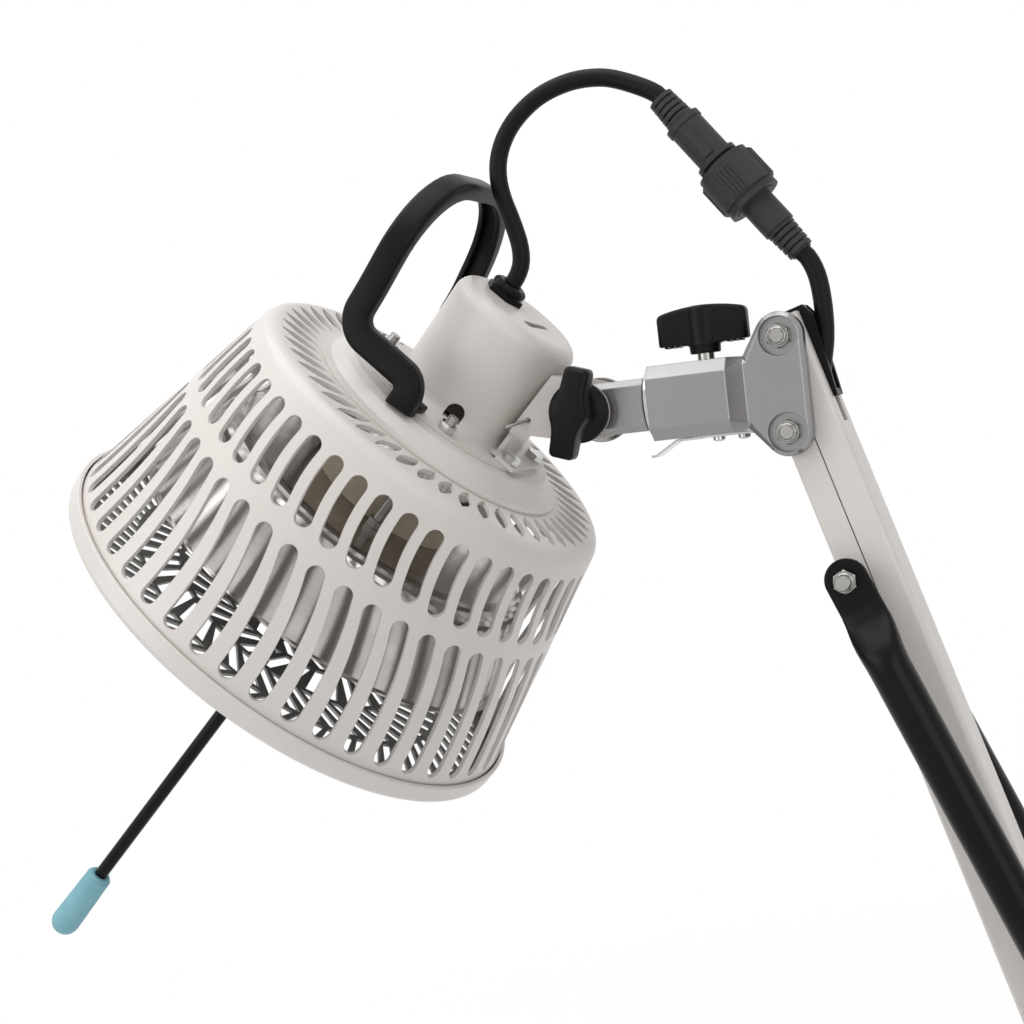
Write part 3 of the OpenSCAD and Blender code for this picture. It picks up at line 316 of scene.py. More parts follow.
# %% Shader group: turned lines
def turned_lines_group():
    g, i, o = shader_group("turned_lines", [("Vector", "Vector", None), ("Scale", "Float", 900.0)],
                           [("Lines", "Float")])
    xyz = add(g, "ShaderNodeSeparateXYZ")
    link(g, (i.outputs["Vector"], xyz.inputs[0]))
    flat = add(g, "ShaderNodeCombineXYZ")
    link(g, (xyz.outputs[0], flat.inputs[0]), (xyz.outputs[1], flat.inputs[1]))
    far = add(g, "ShaderNodeVectorMath", operation="LENGTH")
    link(g, (flat.outputs[0], far.inputs[0]))
    along = add(g, "ShaderNodeCombineXYZ")
    link(g, (far.outputs["Value"], along.inputs[0]), (xyz.outputs[2], along.inputs[2]))
    n = add(g, "ShaderNodeTexNoise", {"Detail": 3.0, "Roughness": 0.7})
    link(g, (along.outputs[0], n.inputs["Vector"]), (i.outputs["Scale"], n.inputs["Scale"]),
         (n.outputs["Fac"], o.inputs["Lines"]))
    return g

turned_lines = turned_lines_group()
print("shader groups:", ", ".join(g.name for g in (soft_edges, surface_cloud, turned_lines)))

# %% [markdown]
# ## One recipe for a finish
# Every finish here is the same short chain with its own numbers: a colour that drifts a little in
# broad patches, a second colour where edges rub or specks sit (on zinc steel the edge colour is a
# painted dark reflection), a roughness that follows the patches, and a fine bump on top of the
# softened edges. The plain numbers sit on the shader.

# %% Finish builder
def mix(tree, fac, a, b):
    """Colour a turning into colour b; each input is a socket to link or a plain value."""
    m = add(tree, "ShaderNodeMix", data_type="RGBA")
    for sock, v in ((m.inputs["Factor"], fac), (m.inputs[6], a), (m.inputs[7], b)):
        if hasattr(v, "links"):
            tree.links.new(v, sock)
        else:
            sock.default_value = v if isinstance(v, float) else (*v, 1.0)
    return m.outputs[2]

def finish_of(name, colour, drift, rough, metallic=0.0, edge=(0.0005, 0.0), edge_wear_and_reflection=None,
              specks=None, broad=18.0, grain=(900.0, 0.00001), specular=0.5, coat=0.0,
              turned=None, lines=0.0):
    """edge is radius and strength of the edge colour (wear, and on zinc steel a painted dark
    reflection), specks colour and strength, grain scale and height.
    """
    mat = bpy.data.materials.new(name)
    mat.use_nodes = True
    t = mat.node_tree
    shader = t.nodes["Principled BSDF"]
    shader.inputs["Metallic"].default_value = metallic
    shader.inputs["Specular IOR Level"].default_value = specular
    shader.inputs["Coat Weight"].default_value = coat
    shader.inputs["Coat Roughness"].default_value = 0.12
    spot = add(t, "ShaderNodeTexCoord").outputs["Object"]
    cloud = add(t, "ShaderNodeGroup", node_tree=surface_cloud)
    cloud.inputs["Broad Scale"].default_value = broad
    cloud.inputs["Grain Scale"].default_value = grain[0]
    soft = add(t, "ShaderNodeGroup", node_tree=soft_edges)
    soft.inputs["Radius"].default_value = edge[0]
    link(t, (spot, cloud.inputs["Vector"]))
    tone = mix(t, cloud.outputs["Broad"], colour, drift)
    if specks:
        specked = math_node(t, "MULTIPLY", cloud.outputs["Specks"], specks[1])
        tone = mix(t, specked, tone, specks[0])
    # The edge colour is wear on most finishes, and on zinc steel a painted dark reflection.
    if edge_wear_and_reflection:
        patchy = math_node(t, "MULTIPLY", cloud.outputs["Grain"], edge[1])
        edge_wear_and_reflection_mask = math_node(t, "MULTIPLY", soft.outputs["Edge"], patchy)
        tone = mix(t, edge_wear_and_reflection_mask, tone, edge_wear_and_reflection)
    dull = add(t, "ShaderNodeMapRange", {"To Min": rough[0], "To Max": rough[1]})
    link(t, (cloud.outputs["Broad"], dull.inputs["Value"]), (tone, shader.inputs["Base Color"]),
         (dull.outputs["Result"], shader.inputs["Roughness"]))
    height = cloud.outputs["Grain"]
    if turned:
        place = add(t, "ShaderNodeMapping", {"Location": turned[0], "Rotation": turned[1]})
        rings = add(t, "ShaderNodeGroup", node_tree=turned_lines)
        rings.inputs["Scale"].default_value = turned[2]
        link(t, (spot, place.inputs["Vector"]),
             (place.outputs["Vector"], rings.inputs["Vector"]))
        height = math_node(t, "MULTIPLY_ADD", rings.outputs["Lines"], lines, height)
    bump = add(t, "ShaderNodeBump", {"Distance": grain[1], "Strength": 1.0})
    link(t, (height, bump.inputs["Height"]), (soft.outputs["Normal"], bump.inputs["Normal"]),
         (bump.outputs["Normal"], shader.inputs["Normal"]))
    return mat

# %% [markdown]
# ## The finishes of this lamp
# Powder-coated sheet, silver-painted castings, zinc and chrome fasteners, spun aluminium, three
# black and grey plastics, a soft blue sleeve and two ceramics. Their drift colours stay close to
# the main colour, because a clean clinic lamp shows wear only at its edges.

# %% Make the finishes
head_local = (on_head.inverted().translation, (0, -head_tilt, 0))
recipes = {
    "white_enamel": dict(
        colour=(0.70, 0.66, 0.63), drift=(0.665, 0.625, 0.595), rough=(0.36, 0.48),
        edge=(0.0006, 0.25), edge_wear_and_reflection=(0.62, 0.60, 0.58), grain=(1100, 0.00002), coat=0.12),
    "cast_silver": dict(
        colour=(0.29, 0.287, 0.287), drift=(0.275, 0.272, 0.272), rough=(0.24, 0.27),
        metallic=0.9, edge=(0.0009, 0.5), edge_wear_and_reflection=(0.5, 0.5, 0.5), grain=(2400, 0.000006), broad=30),
    # Zinc steel's dark edge colour is a painted dark reflection along the edges of the nuts and
    # threads.
    "zinc_steel": dict(
        colour=(0.42, 0.41, 0.39), drift=(0.34, 0.33, 0.31), rough=(0.12, 0.2), metallic=1.0,
        edge=(0.0007, 1.7), edge_wear_and_reflection=(0.05, 0.047, 0.043), grain=(2200, 0.000008), broad=90),
    "chrome": dict(
        colour=(0.56, 0.555, 0.55), drift=(0.46, 0.455, 0.45), rough=(0.08, 0.18), metallic=1.0,
        edge=(0.0004, 0.0), grain=(1800, 0.000006), broad=60),
    "polished_aluminium": dict(
        colour=(0.62, 0.60, 0.59), drift=(0.30, 0.285, 0.27), rough=(0.12, 0.26), metallic=1.0,
        grain=(500, 0.00001), turned=(*head_local, 1400.0), lines=2.0),
    "guard_wire": dict(
        colour=(0.27, 0.268, 0.255), drift=(0.2, 0.197, 0.188), rough=(0.4, 0.55), metallic=0.35,
        edge=(0.0003, 0.4), edge_wear_and_reflection=(0.4, 0.4, 0.4), grain=(1400, 0.00002)),
    "black_plastic": dict(
        colour=(0.0035, 0.0035, 0.0038), drift=(0.005, 0.005, 0.0053), rough=(0.3, 0.42),
        edge=(0.0007, 0.35), edge_wear_and_reflection=(0.025, 0.025, 0.026), grain=(2600, 0.00003), specular=0.13),
    "grey_plastic": dict(
        colour=(0.042, 0.043, 0.045), drift=(0.035, 0.036, 0.038), rough=(0.4, 0.52),
        edge=(0.0005, 0.35), edge_wear_and_reflection=(0.1, 0.1, 0.105), grain=(2600, 0.00003), specular=0.18),
    "black_paint": dict(
        colour=(0.0032, 0.0032, 0.0035), drift=(0.0048, 0.0048, 0.005), rough=(0.2, 0.32),
        edge=(0.0006, 0.4), edge_wear_and_reflection=(0.03, 0.03, 0.03), grain=(1200, 0.00002), specular=0.13),
    "blue_sleeve": dict(
        colour=(0.22, 0.46, 0.53), drift=(0.18, 0.40, 0.47), rough=(0.5, 0.62),
        grain=(1500, 0.00003), broad=70, specular=0.4),
    "ceramic_beige": dict(
        colour=(0.56, 0.50, 0.40), drift=(0.47, 0.41, 0.32), rough=(0.75, 0.9),
        specks=((0.25, 0.21, 0.16), 0.6), grain=(1500, 0.00008), broad=70, specular=0.3),
    "mineral": dict(
        colour=(0.060, 0.056, 0.053), drift=(0.035, 0.033, 0.032), rough=(0.7, 0.9),
        specks=((0.30, 0.28, 0.26), 0.5), grain=(900, 0.0001), broad=50, specular=0.3),
    "cable_black": dict(
        colour=(0.0035, 0.0035, 0.0038), drift=(0.006, 0.006, 0.0063), rough=(0.4, 0.5),
        grain=(1800, 0.00002), broad=60, specular=0.14),
}
finish = {name: finish_of(name, **recipe) for name, recipe in recipes.items()}
print("finishes:", len(finish))

# %% [markdown]
# The record of the solids names a finish for every subpart. Reading the names from the frame keeps
# the solids and their finishes in step.

# %% Paint the solids
for part in frame["record"]["subparts"]:
    mesh = nodes[part["node"]].data
    mesh.materials.clear()
    mesh.materials.append(finish[part["material_slot"]])

# %% [markdown]
# ## Cords
# One mains cord leaves the gland on the lamp head, rises in a free loop to a round in-line
# connector, and goes on below it into the back of the arm. It is made in three lengths: from the
# gland to the connector, from the connector into the cap on the arm, and inside the arm.

# %% Route from the gland to the connector
cable_r = 4.3 * MM
def xz(points):
    return [Vector((x, 0, z)) * MM for x, z in points]

gland_mouth = on_head @ (Vector((-13, 0, 211.3)) * MM)
plug_lean = math.radians(143.8)
plug_way = Vector((math.sin(plug_lean), 0, math.cos(plug_lean)))
connector_len = 98.8 * MM
plug_start = Vector((-184.7, 0, 623.8)) * MM
plug_end = plug_start + connector_len * plug_way
free_loop = xz([(-264.4, 553.2), (-262.4, 558), (-261.9, 563.5), (-262.6, 570), (-265, 580),
                (-267.8, 590), (-269, 600), (-267.5, 610), (-262.5, 620), (-254, 628.8),
                (-242, 635.8), (-227, 639.3), (-212, 638.5), (-199.5, 634)])
head_run = through([gland_mouth - 9 * MM * head_up, gland_mouth, *free_loop,
                    plug_start - 4 * MM * plug_way, plug_start + 3 * MM * plug_way])
print("gland to connector:", round(run_length(head_run) / MM, 1), "mm")

# %% [markdown]
# Below the connector the cord hangs into the cap on the arm, and then runs down inside the rear
# bar. It is cut inside the cap, level with the top of the arm.

# %% Route from the connector down the arm
into_cap = xz([(-120.5, 531), (-119.5, 517), (-120.3, 503.5), (-122.8, 491), (-123.6, 479.5)])
behind_web = 4.3 * MM
inside_arm = [rear_foot + behind_web * arm_back + z * MM * arm_up
              for z in (377, *range(360, 39, -20))]
arm_run = through([plug_end - 3 * MM * plug_way, plug_end, plug_end + 5 * MM * plug_way,
                   *into_cap, *inside_arm])
arm_top_z, cap_mouth_z = 494 * MM, 512 * MM
cut = min(range(len(arm_run)), key=lambda i: abs(arm_run[i].z - arm_top_z))
upper_run, lower_run = arm_run[:cut + 1], arm_run[cut:]
print("connector to arm, inside the arm, mm:",
      [round(run_length(r) / MM, 1) for r in (upper_run, lower_run)])

# %% [markdown]
# ## The cord's three lengths
# Each length is the cable tree run once along its route, and the solid cord that it stands for is
# hidden.

# %% Make the cord's three lengths
cable = cable_tree()
def cord_piece(name, run, replaced):
    values = {"Radius": cable_r, "Step": 3 * MM, "Finish": finish["cable_black"]}
    piece = run_tree(line_curve([run], name), cable, values, name)
    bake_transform(piece)
    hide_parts(replaced)
    print(name, len(piece.data.polygons), "faces")

cord_piece("cord_to_connector", head_run, "cord_head")
cord_piece("cord_into_arm", upper_run, "cord_arm")
cord_piece("cord_inside_arm", lower_run, "cord_arm")

# %% [markdown]
# ## The moulded handle
# The handle is one bar of nylon, rounded on the outside and hollowed by a groove on the inside.
# It starts on two lugs on the head, runs back along the sheet, turns up at the knees and closes
# in a bow. One section carried along one line gives all of that.

# %% Line and section of the handle
def rounded(corners, radii, step=math.radians(7)):
    """A polyline whose inner corners are replaced by arcs of the given radii."""
    out = [corners[0]]
    for a, p, b, r in zip(corners, corners[1:], corners[2:], radii):
        u, v = (a - p).normalized(), (b - p).normalized()
        half = u.angle(v) / 2
        reach = r / math.tan(half)
        centre = p + (u + v).normalized() * (r / math.sin(half))
        start, end = p + u * reach - centre, p + v * reach - centre
        turn = start.angle(end)
        count = max(2, int(turn / step))
        for i in range(count + 1):
            out.append(centre + start.slerp(end, i / count).normalized() * r)
    return out + [corners[-1]]

band, thick = 13.5, 8.5
foot_z, leg_mid = 143.6, 150.5 + band / 2
bow_lean, bow_top = math.radians(9.5), 71.2
def on_bow(y, rise):
    """A point of the bow's leaning plane, so far to the side and so far up it."""
    return Vector((-46 - rise * math.sin(bow_lean), y, 164 + rise * math.cos(bow_lean)))

mid_y = 63 - thick / 2
corners = [Vector((-3, mid_y, foot_z)), Vector((-4.5, mid_y, leg_mid)),
           Vector((-46.6, mid_y, leg_mid)), on_bow(mid_y, 14),
           on_bow(mid_y - 6, bow_top), on_bow(0, bow_top)]
half_line = rounded(corners, [8.5, 12.0, 90, 44])
far_half = [Vector((p.x, -p.y, p.z)) for p in reversed(half_line[:-1])]
handle_line = half_line + far_half
print("handle line", len(handle_line), "points,", round(run_length(handle_line)), "mm long")

def section(width, depth, groove, lip=3.0, outer=2.6, inner=1.0):
    """Half-round bar seen along its line: x outwards, y across the band."""
    w, d = width / 2, depth / 2
    pts = []
    for cx, cy, r, a0 in ((d - outer, w - outer, outer, 0), (-d + inner, w - inner, inner, 90)):
        for k in range(5):
            a = math.radians(a0 + k * 22.5)
            pts.append((cx + r * math.cos(a), cy + r * math.sin(a)))
    g = w - lip
    pts += [(-d, g + 0.5), (-d + 0.5, g), (-d + groove - 0.6, g - 0.3), (-d + groove, g - 0.9)]
    return pts + [(x, -y) for x, y in reversed(pts)]

# %% [markdown]
# Whatever a tube shows, its skin is made in the same way: quads from ring to ring. The handle has
# two ends to cap, and later a nut closes on itself, so one rule for the faces serves both.

# %% Skin rings of points
def tube_faces(rings, count, joined_ends=False):
    """Quads between neighbouring rings, and a cap on each end unless the ends are joined."""
    last = rings if joined_ends else rings - 1
    faces = [(i * count + k, i * count + (k + 1) % count,
              (i + 1) % rings * count + (k + 1) % count, (i + 1) % rings * count + k)
             for i in range(last) for k in range(count)]
    if not joined_ends:
        faces.append(tuple(reversed(range(count))))
        faces.append(tuple((rings - 1) * count + k for k in range(count)))
    return faces

def skin(name, verts, faces, mat):
    mesh = bpy.data.meshes.new(name)
    mesh.from_pydata(verts, [], faces)
    mesh.materials.append(mat)
    return mesh

# %% [markdown]
# A curve's own bevel could carry the section, but its frame may twist at the knees, and then the
# groove wanders. Here each frame is the one before it, turned by the smallest angle that follows
# the line, so the groove stays on the inner side.

# %% Carry the section along the line
def sweep(line, first_out, sizes, name, mat):
    """Skins a tube whose section changes by sizes(i), with a frame that doesn't twist."""
    last = len(line) - 1
    ways = [(line[min(i + 1, last)] - line[max(i - 1, 0)]).normalized() for i in range(last + 1)]
    out = Vector(first_out)
    verts = []
    for i, (p, way) in enumerate(zip(line, ways)):
        if i:
            out = ways[i - 1].rotation_difference(way) @ out
        out = (out - way * out.dot(way)).normalized()
        side = way.cross(out)
        verts += [on_head @ ((p + out * x + side * y) * MM) for x, y in sizes(i)]
    faces = tube_faces(len(line), len(verts) // len(line))
    return into_scene(name, skin(name, verts, faces, mat))

flare, flare_height = 1.2, 9
def handle_size(i):
    """The band widens a little at its feet, and the groove stops short of both ends."""
    from_end = min(i, len(handle_line) - 1 - i)
    up = handle_line[i].z - foot_z
    wider = max(0.0, 1 - up / flare_height) * flare
    return section(band + wider, thick, 4.0 if from_end > 1 else 1.2)

handle = sweep(handle_line, (0, 1, 0), handle_size, "handle_bow", finish["black_plastic"])
print("handle faces:", len(handle.data.polygons))

# %% [markdown]
# Moulded and turned pieces are smooth over gentle angles and crisp at the rest, and marks on the
# mesh's edges say which is which. A small block with rounded edges is the other thing that is
# needed more than once.

# %% Helpers for edges, blocks and places
import bmesh
def shade(mesh, degrees=38):
    """Faces point outwards, and edges sharper than this many degrees stay crisp."""
    bm = bmesh.new()
    bm.from_mesh(mesh)
    bmesh.ops.recalc_face_normals(bm, faces=bm.faces)
    for f in bm.faces:
        f.smooth = True
    for e in bm.edges:
        e.smooth = len(e.link_faces) == 2 and e.calc_face_angle(0) < math.radians(degrees)
    bm.to_mesh(mesh)
    bm.free()

def block(bm, low, high, round_mm, place):
    """Adds a box with rounded edges to bm, drawn in millimetres and then set in place."""
    made = bmesh.ops.create_cube(bm, size=1)["verts"]
    low, high = Vector(low), Vector(high)
    for v in made:
        v.co = Vector(a + (b - a) * (c + 0.5) for a, b, c in zip(low, high, v.co))
    edges = list({e for v in made for e in v.link_edges})
    done = bmesh.ops.bevel(bm, geom=edges, offset=round_mm, segments=3, affect="EDGES", profile=0.5)
    for v in {*done["verts"], *(v for v in made if v.is_valid)}:
        v.co = place @ (v.co * MM)

def keep(piece, body, slot, *replaced):
    """Ties a finished piece to its body and hides the solids that it stands for; slot is not used.
    """
    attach(piece, body)
    if replaced:
        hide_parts(*replaced)
    return piece

# %% [markdown]
# The two lugs under the legs take the handle's screws. They are moulded with the bar, so they are
# built as soft-edged blocks and joined to it.

# %% Lugs under the handle
lug_in, lug_out, lug_low, lug_high = 44.6, 55, 145.35, 149.3
bm = bmesh.new()
bm.from_mesh(handle.data)
for side in (-1, 1):
    near, far = sorted((side * lug_in, side * lug_out))
    block(bm, (-12, near, lug_low), (4, far, lug_high), 0.9, on_head)
bm.to_mesh(handle.data)
bm.free()
shade(handle.data)
keep(handle, "head", "black_plastic", "handle")
print("handle with lugs:", len(handle.data.polygons), "faces")

# %% [markdown]
# ## Lofted pieces
# A wing knob, a gland cap and a crimped tube have no sharp parts: each flows from one section to
# the next. The simplest way to model that is a loft, a stack of rings with the same number of
# points. Rings may shrink to a line, and merging their doubles then closes the skin.

# %% Skin a stack of rings
def loft(rings, name, mat, place, closed_ring=False):
    verts = [place @ (Vector(v) * MM) for ring in rings for v in ring]
    mesh = skin(name, verts, tube_faces(len(rings), len(rings[0]), closed_ring), mat)
    bm = bmesh.new()
    bm.from_mesh(mesh)
    bmesh.ops.remove_doubles(bm, verts=bm.verts, dist=2e-6)
    bmesh.ops.dissolve_degenerate(bm, edges=bm.edges, dist=1e-6)
    bm.to_mesh(mesh)
    bm.free()
    shade(mesh)
    return into_scene(name, mesh)

def circle(count):
    """So many angles, evenly spaced round a full turn."""
    return [2 * math.pi * k / count for k in range(count)]

# %% [markdown]
# ## Wing knobs
# Both knobs are one kind of moulding: a round foot or stem that swells into a wing with a crowned
# top. The tilt knob's wing bulges softly in the middle, where the bolt's head is moulded in. The
# roll knob has flat wings and a round boss that stands out crisply. The outline is drawn once for
# both, and only the rule for its middle changes.

# %% Outline of a wing
wing_half, corner = 21.5, 2.4
def soft_bulge(x):
    return 3.2 * math.exp(-(x / 6.2) ** 2)

def round_boss(radius, wing_side):
    """How far a boss of this radius stands out of the wing's flat side."""
    return lambda x: max(0.0, math.sqrt(max(0.0, radius * radius - x * x)) - wing_side)

def wing_outline(wing_side, bulge):
    """The wing seen from above: a box with round corners, pushed out sideways by bulge(x)."""
    inner_x, inner_y = wing_half - corner, wing_side - corner
    pts = []
    for sx, sy, a0 in ((1, 1, 0), (-1, 1, 90), (-1, -1, 180), (1, -1, 270)):
        centre = Vector((sx * inner_x, sy * inner_y))
        for i in range(7):
            a = math.radians(a0 + 15 * i)
            pts.append(centre + corner * Vector((math.cos(a), math.sin(a))))
        if sx == sy:
            pts += [Vector((sx * inner_x * (1 - i / 10), sy * wing_side)) for i in range(1, 20)]
        else:
            pts += [Vector((sx * wing_half, sy * inner_y * (1 - i / 2))) for i in range(1, 4)]
    return [Vector((p.x, p.y + math.copysign(bulge(p.x), p.y))) for p in pts]

# %% [markdown]
# A knob flows from a round foot to the wing without an edge between them. Each ring is a mix of a
# circle and the wing's outline, and the share w grows from 0 to 1 on the way up.

# %% Rings of a knob
inset_share, crown_bend = 6, 156
def knob_ring(wing, z, r, w, inset=0.0, narrow=1.0, crown=0.0):
    """A ring at height z, between a circle of radius r (w = 0) and the wing's outline (w = 1)."""
    ring = []
    for p in wing:
        x = p.x * (1 - inset / wing_half)
        y = p.y * (1 - inset / inset_share) * narrow
        c = Vector((p.x, p.y)).normalized() * r
        x, y = c.x + (x - c.x) * w, c.y + (y - c.y) * w
        ring.append((x, y, z - crown * x * x / crown_bend))
    return ring

def knob(name, node, body, wing, foot, top, place):
    """Foot rings as given, then a crowned top that rounds over and closes on its middle line."""
    rings = [knob_ring(wing, *row) for row in foot]
    for below, inset, narrow in ((2.2, 0.0, 1), (1.0, 0.25, 1), (0.3, 0.9, 1), (0, 1.8, 1),
                                 (-0.1, 2.0, 0.6), (-0.1, 2.0, 0.25), (-0.1, 2.0, 0.0)):
        rings.append(knob_ring(wing, top - below, 0, 1, inset, narrow, 1.0))
    piece = loft(rings, name, finish["black_plastic"], place)
    print(name, len(piece.data.polygons), "faces")
    return keep(piece, body, "black_plastic", node)

# %% [markdown]
# The tilt knob clamps the head. Its foot is broad and round, so its first rings are wide circles,
# and the wing grows out of a narrower neck.

# %% Tilt knob, with a round foot that covers the bracket's ear
quarter = math.radians(90)
tilt_place = (Matrix.Translation(tilt_pivot) @ Matrix.Rotation(math.radians(18), 4, "Y")
              @ Matrix.Translation(Vector((0, -17, 0)) * MM)
              @ Matrix.Rotation(quarter, 4, "X") @ Matrix.Rotation(quarter, 4, "Z"))
tilt_foot = [(14, 4.15, 0), (0, 4.15, 0), (0, 13.9, 0), (0.6, 14.6, 0), (3.4, 14.6, 0),
             (4.3, 13.6, 0), (5.2, 12.0, 0.12), (6.4, 10.6, 0.35), (7.6, 10, 0.7), (8.8, 10, 0.93),
             (10.2, 10, 1.0)]
knob("tilt_wing", "tilt_knob", "tilt_knob", wing_outline(6.0, soft_bulge), tilt_foot, 21.5,
     tilt_place)

# %% [markdown]
# The roll knob clamps the shaft from above. It stands free on a slim stem, so its rings start
# small and open at once into a flat wing.

# %% Roll knob, on a slim stem
roll_place = Matrix.Translation(Vector((-176.476, 0, 500.77)) * MM)
roll_stem = [(12, 4.15, 0), (3, 4.15, 0), (3, 6.8, 0), (3.4, 7.2, 0), (6.6, 7.4, 0),
             (7.2, 7.6, 0.05), (7.6, 8, 0.6), (7.8, 8, 0.95), (8.4, 8, 1.0)]
roll_side = 4.4
roll = knob("roll_wing", "roll_knob", "roll_knob",
            wing_outline(roll_side, round_boss(7.2, roll_side)), roll_stem, 25.5, roll_place)

# %% [markdown]
# The underside of a moulded wing is hollow, and thin ribs cross the hollow. From outside only
# the ribs' lower edges show, so three small blocks under each wing are enough.

# %% Ribs under the roll knob
rib_thick, rib_half, rib_low, rib_high = 1.3, 4.2, 6.9, 8.8
bm = bmesh.new()
bm.from_mesh(roll.data)
for side in (-1, 1):
    for x in (11.5, 14.3, 17.1):
        near, far = sorted((side * x, side * (x + rib_thick)))
        block(bm, (near, -rib_half, rib_low), (far, rib_half, rib_high), 0.25, roll_place)
bm.to_mesh(roll.data)
bm.free()
shade(roll.data)
print("roll knob with ribs:", len(roll.data.polygons), "faces")

# %% [markdown]
# ## Gland cap
# The nut that squeezes the cable is a small dome with shallow grips round it. Its section is
# turned round the axis, and the radius of the outer rings dips eight times on the way.

# %% Gland cap
cap_x, cap_z, grips = -13, 203.8, 8
def cap_ring(z, r, grip):
    ring = []
    for a in circle(96):
        d = r - grip * max(0.0, math.cos(grips * a)) ** 3
        ring.append((cap_x + d * math.cos(a), d * math.sin(a), cap_z + z))
    return ring

cap_rows = [(3.4, 4.4, 0), (3.4, 8.4, 0), (3.7, 8.9, 0.5), (5.0, 9.1, 0.8), (5.9, 8.8, 0.8),
            (6.7, 8.0, 0.5), (7.25, 6.9, 0.1), (7.4, 5.8, 0), (7.1, 4.9, 0), (6.3, 4.4, 0)]
cap = loft([cap_ring(*row) for row in cap_rows], "gland_cap", finish["black_plastic"], on_head,
           closed_ring=True)
keep(cap, "head", "black_plastic", "gland_nut")
print("gland cap:", len(cap.data.polygons), "faces")

# %% [markdown]
# ## Strut tubes
# Each strut is a steel tube whose end is pressed flat to make the tongue round its bolt. Pressing
# makes the tube a little wider before it is flat, and the shoulder is round all over. A section
# that turns from a flat box into a circle, station by station, gives exactly this.

# %% Stations down a pressed tube
def pressed(z, half, near, far, power):
    """A ring across the strut: half its width, its two faces across, and how square it is."""
    middle, reach = (near + far) / 2, (far - near) / 2
    ring = []
    for a in circle(72):
        c, s = math.cos(a), math.sin(a)
        fit = (abs(c) ** power + abs(s) ** power) ** (-1 / power)
        ring.append((half * c * fit, middle + reach * s * fit, z))
    return ring

tongue_r, tongue_in, tongue_out = 10, 26, 29.2
tube_r, tube_in, tube_out = 9.5, 25.5, 44.5
stations = []
for degrees in range(84, 3, -8):
    a = math.radians(degrees)
    stations.append((tongue_r * math.sin(a), tongue_r * math.cos(a), tongue_in, tongue_out, 7))
stations += [(-10, tongue_r, tongue_in, tongue_out, 7), (-14, 10, 26, 29.4, 6),
             (-18, 10.2, 25.9, 30.6, 4.6), (-22, 10.5, 25.8, 33, 3.6),
             (-26, 10.6, 25.7, 36.4, 3.0), (-30, 10.4, 25.6, 39.8, 2.6),
             (-34, 10.0, 25.5, 42.4, 2.3), (-38, 9.7, 25.5, 43.9, 2.1)]
stations += [(z, tube_r, tube_in, tube_out, 2) for z in (-43, -120, -239.4)]
stations.append((-240, tube_r - 0.6, tube_in + 0.6, tube_out - 0.6, 2))
print("stations down a strut:", len(stations))

# %% [markdown]
# The two tubes stand on either side of the arm and mirror each other, so the same stations serve
# twice, with the sign across the arm changed. Both lean from the strut's foot to its head.

# %% The two strut tubes
strut_lean = math.atan2(strut_foot.x - strut_head.x, strut_head.z - strut_foot.z)
strut_place = Matrix.Translation(strut_head) @ Matrix.Rotation(-strut_lean, 4, "Y")
for name, side in (("strut_far", 1), ("strut_near", -1)):
    rings = [[(x, side * y, z) for x, y, z in pressed(*row)] for row in stations]
    tube = loft(rings, name, finish["black_paint"], strut_place)
    keep(tube, "strut_tubes", "black_paint", "strut_tubes")
    print(name, len(tube.data.polygons), "faces")

# %% [markdown]
# ## Locknuts
# The pivots are held by locknuts, the kind with a plain collar that grips the thread. A forged nut
# isn't a bare prism: both faces are turned to a cone, which leaves round corners and curved edges.
# The hexagon is cut by a circle that changes along the axis, so the curves come by themselves.

# %% Rings of a nut
nut_high, nut_flats = 6, 9.96
def nut_ring(depth, limit, flats=None):
    """A ring at this depth: a circle of radius limit, cut by a hexagon where flats is given."""
    ring = []
    for a in circle(96):
        r = limit
        if flats:
            from_flat = (a + math.pi / 6) % (math.pi / 3) - math.pi / 6
            r = min(limit, flats / 2 / math.cos(from_flat))
        ring.append((r * math.cos(a), r * math.sin(a), depth))
    return ring

nut_rows = [(0, 3.1), (0, 5.1, nut_flats), (0.5, 5.7, nut_flats), (3.9, 5.72, nut_flats),
            (4.5, 5.05, nut_flats), (4.5, 4.35), (5.3, 4.3), (5.8, 4.0), (6.0, 3.6), (5.9, 3.25),
            (5.5, 3.1)]
nut_rings = [nut_ring(*row) for row in nut_rows]

# %% [markdown]
# The pivots say where each nut sits, and the box of the solid nuts says how far out it reaches.
# The nuts of one node are joined into one mesh, because together they stand for that node.

# %% Put the nuts on their bolts
def nuts_of(name, node, body, pivots, sides=(-1,)):
    """A locknut at each pivot on the given sides of the arm, all in one mesh."""
    low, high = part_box(node)
    bm = bmesh.new()
    for pivot in pivots:
        for side in sides:
            face = high.y if side > 0 else low.y
            place = (Matrix.Translation((pivot.x, face - side * nut_high * MM, pivot.z))
                     @ Matrix.Rotation(-side * quarter, 4, "X"))
            one = loft(nut_rings, name, finish["zinc_steel"], place, closed_ring=True)
            bm.from_mesh(one.data)
            bpy.data.meshes.remove(one.data)
    mesh = bpy.data.meshes.new(name)
    bm.to_mesh(mesh)
    bm.free()
    mesh.materials.append(finish["zinc_steel"])
    shade(mesh)
    keep(into_scene(name, mesh), body, "zinc_steel", node)
    print(name, len(mesh.polygons), "faces")

nuts_of("locknuts_top", "pivot_nuts", "bracket", [front_top, rear_top])
nuts_of("locknuts_foot", "lower_pivot_nuts", "mast", [front_foot, rear_foot])
nuts_of("locknuts_strut", "strut_nuts", "front_arm", [strut_head], sides=(-1, 1))

# %% [markdown]
# ## Threads
# A bolt's bare end shows its thread. At this size a helix looks the same as a stack of fine
# rings, and rings are easier: Geometry Nodes walk along a line, set one thin ring at every pitch,
# turn it to face along the line, and make the instances real.

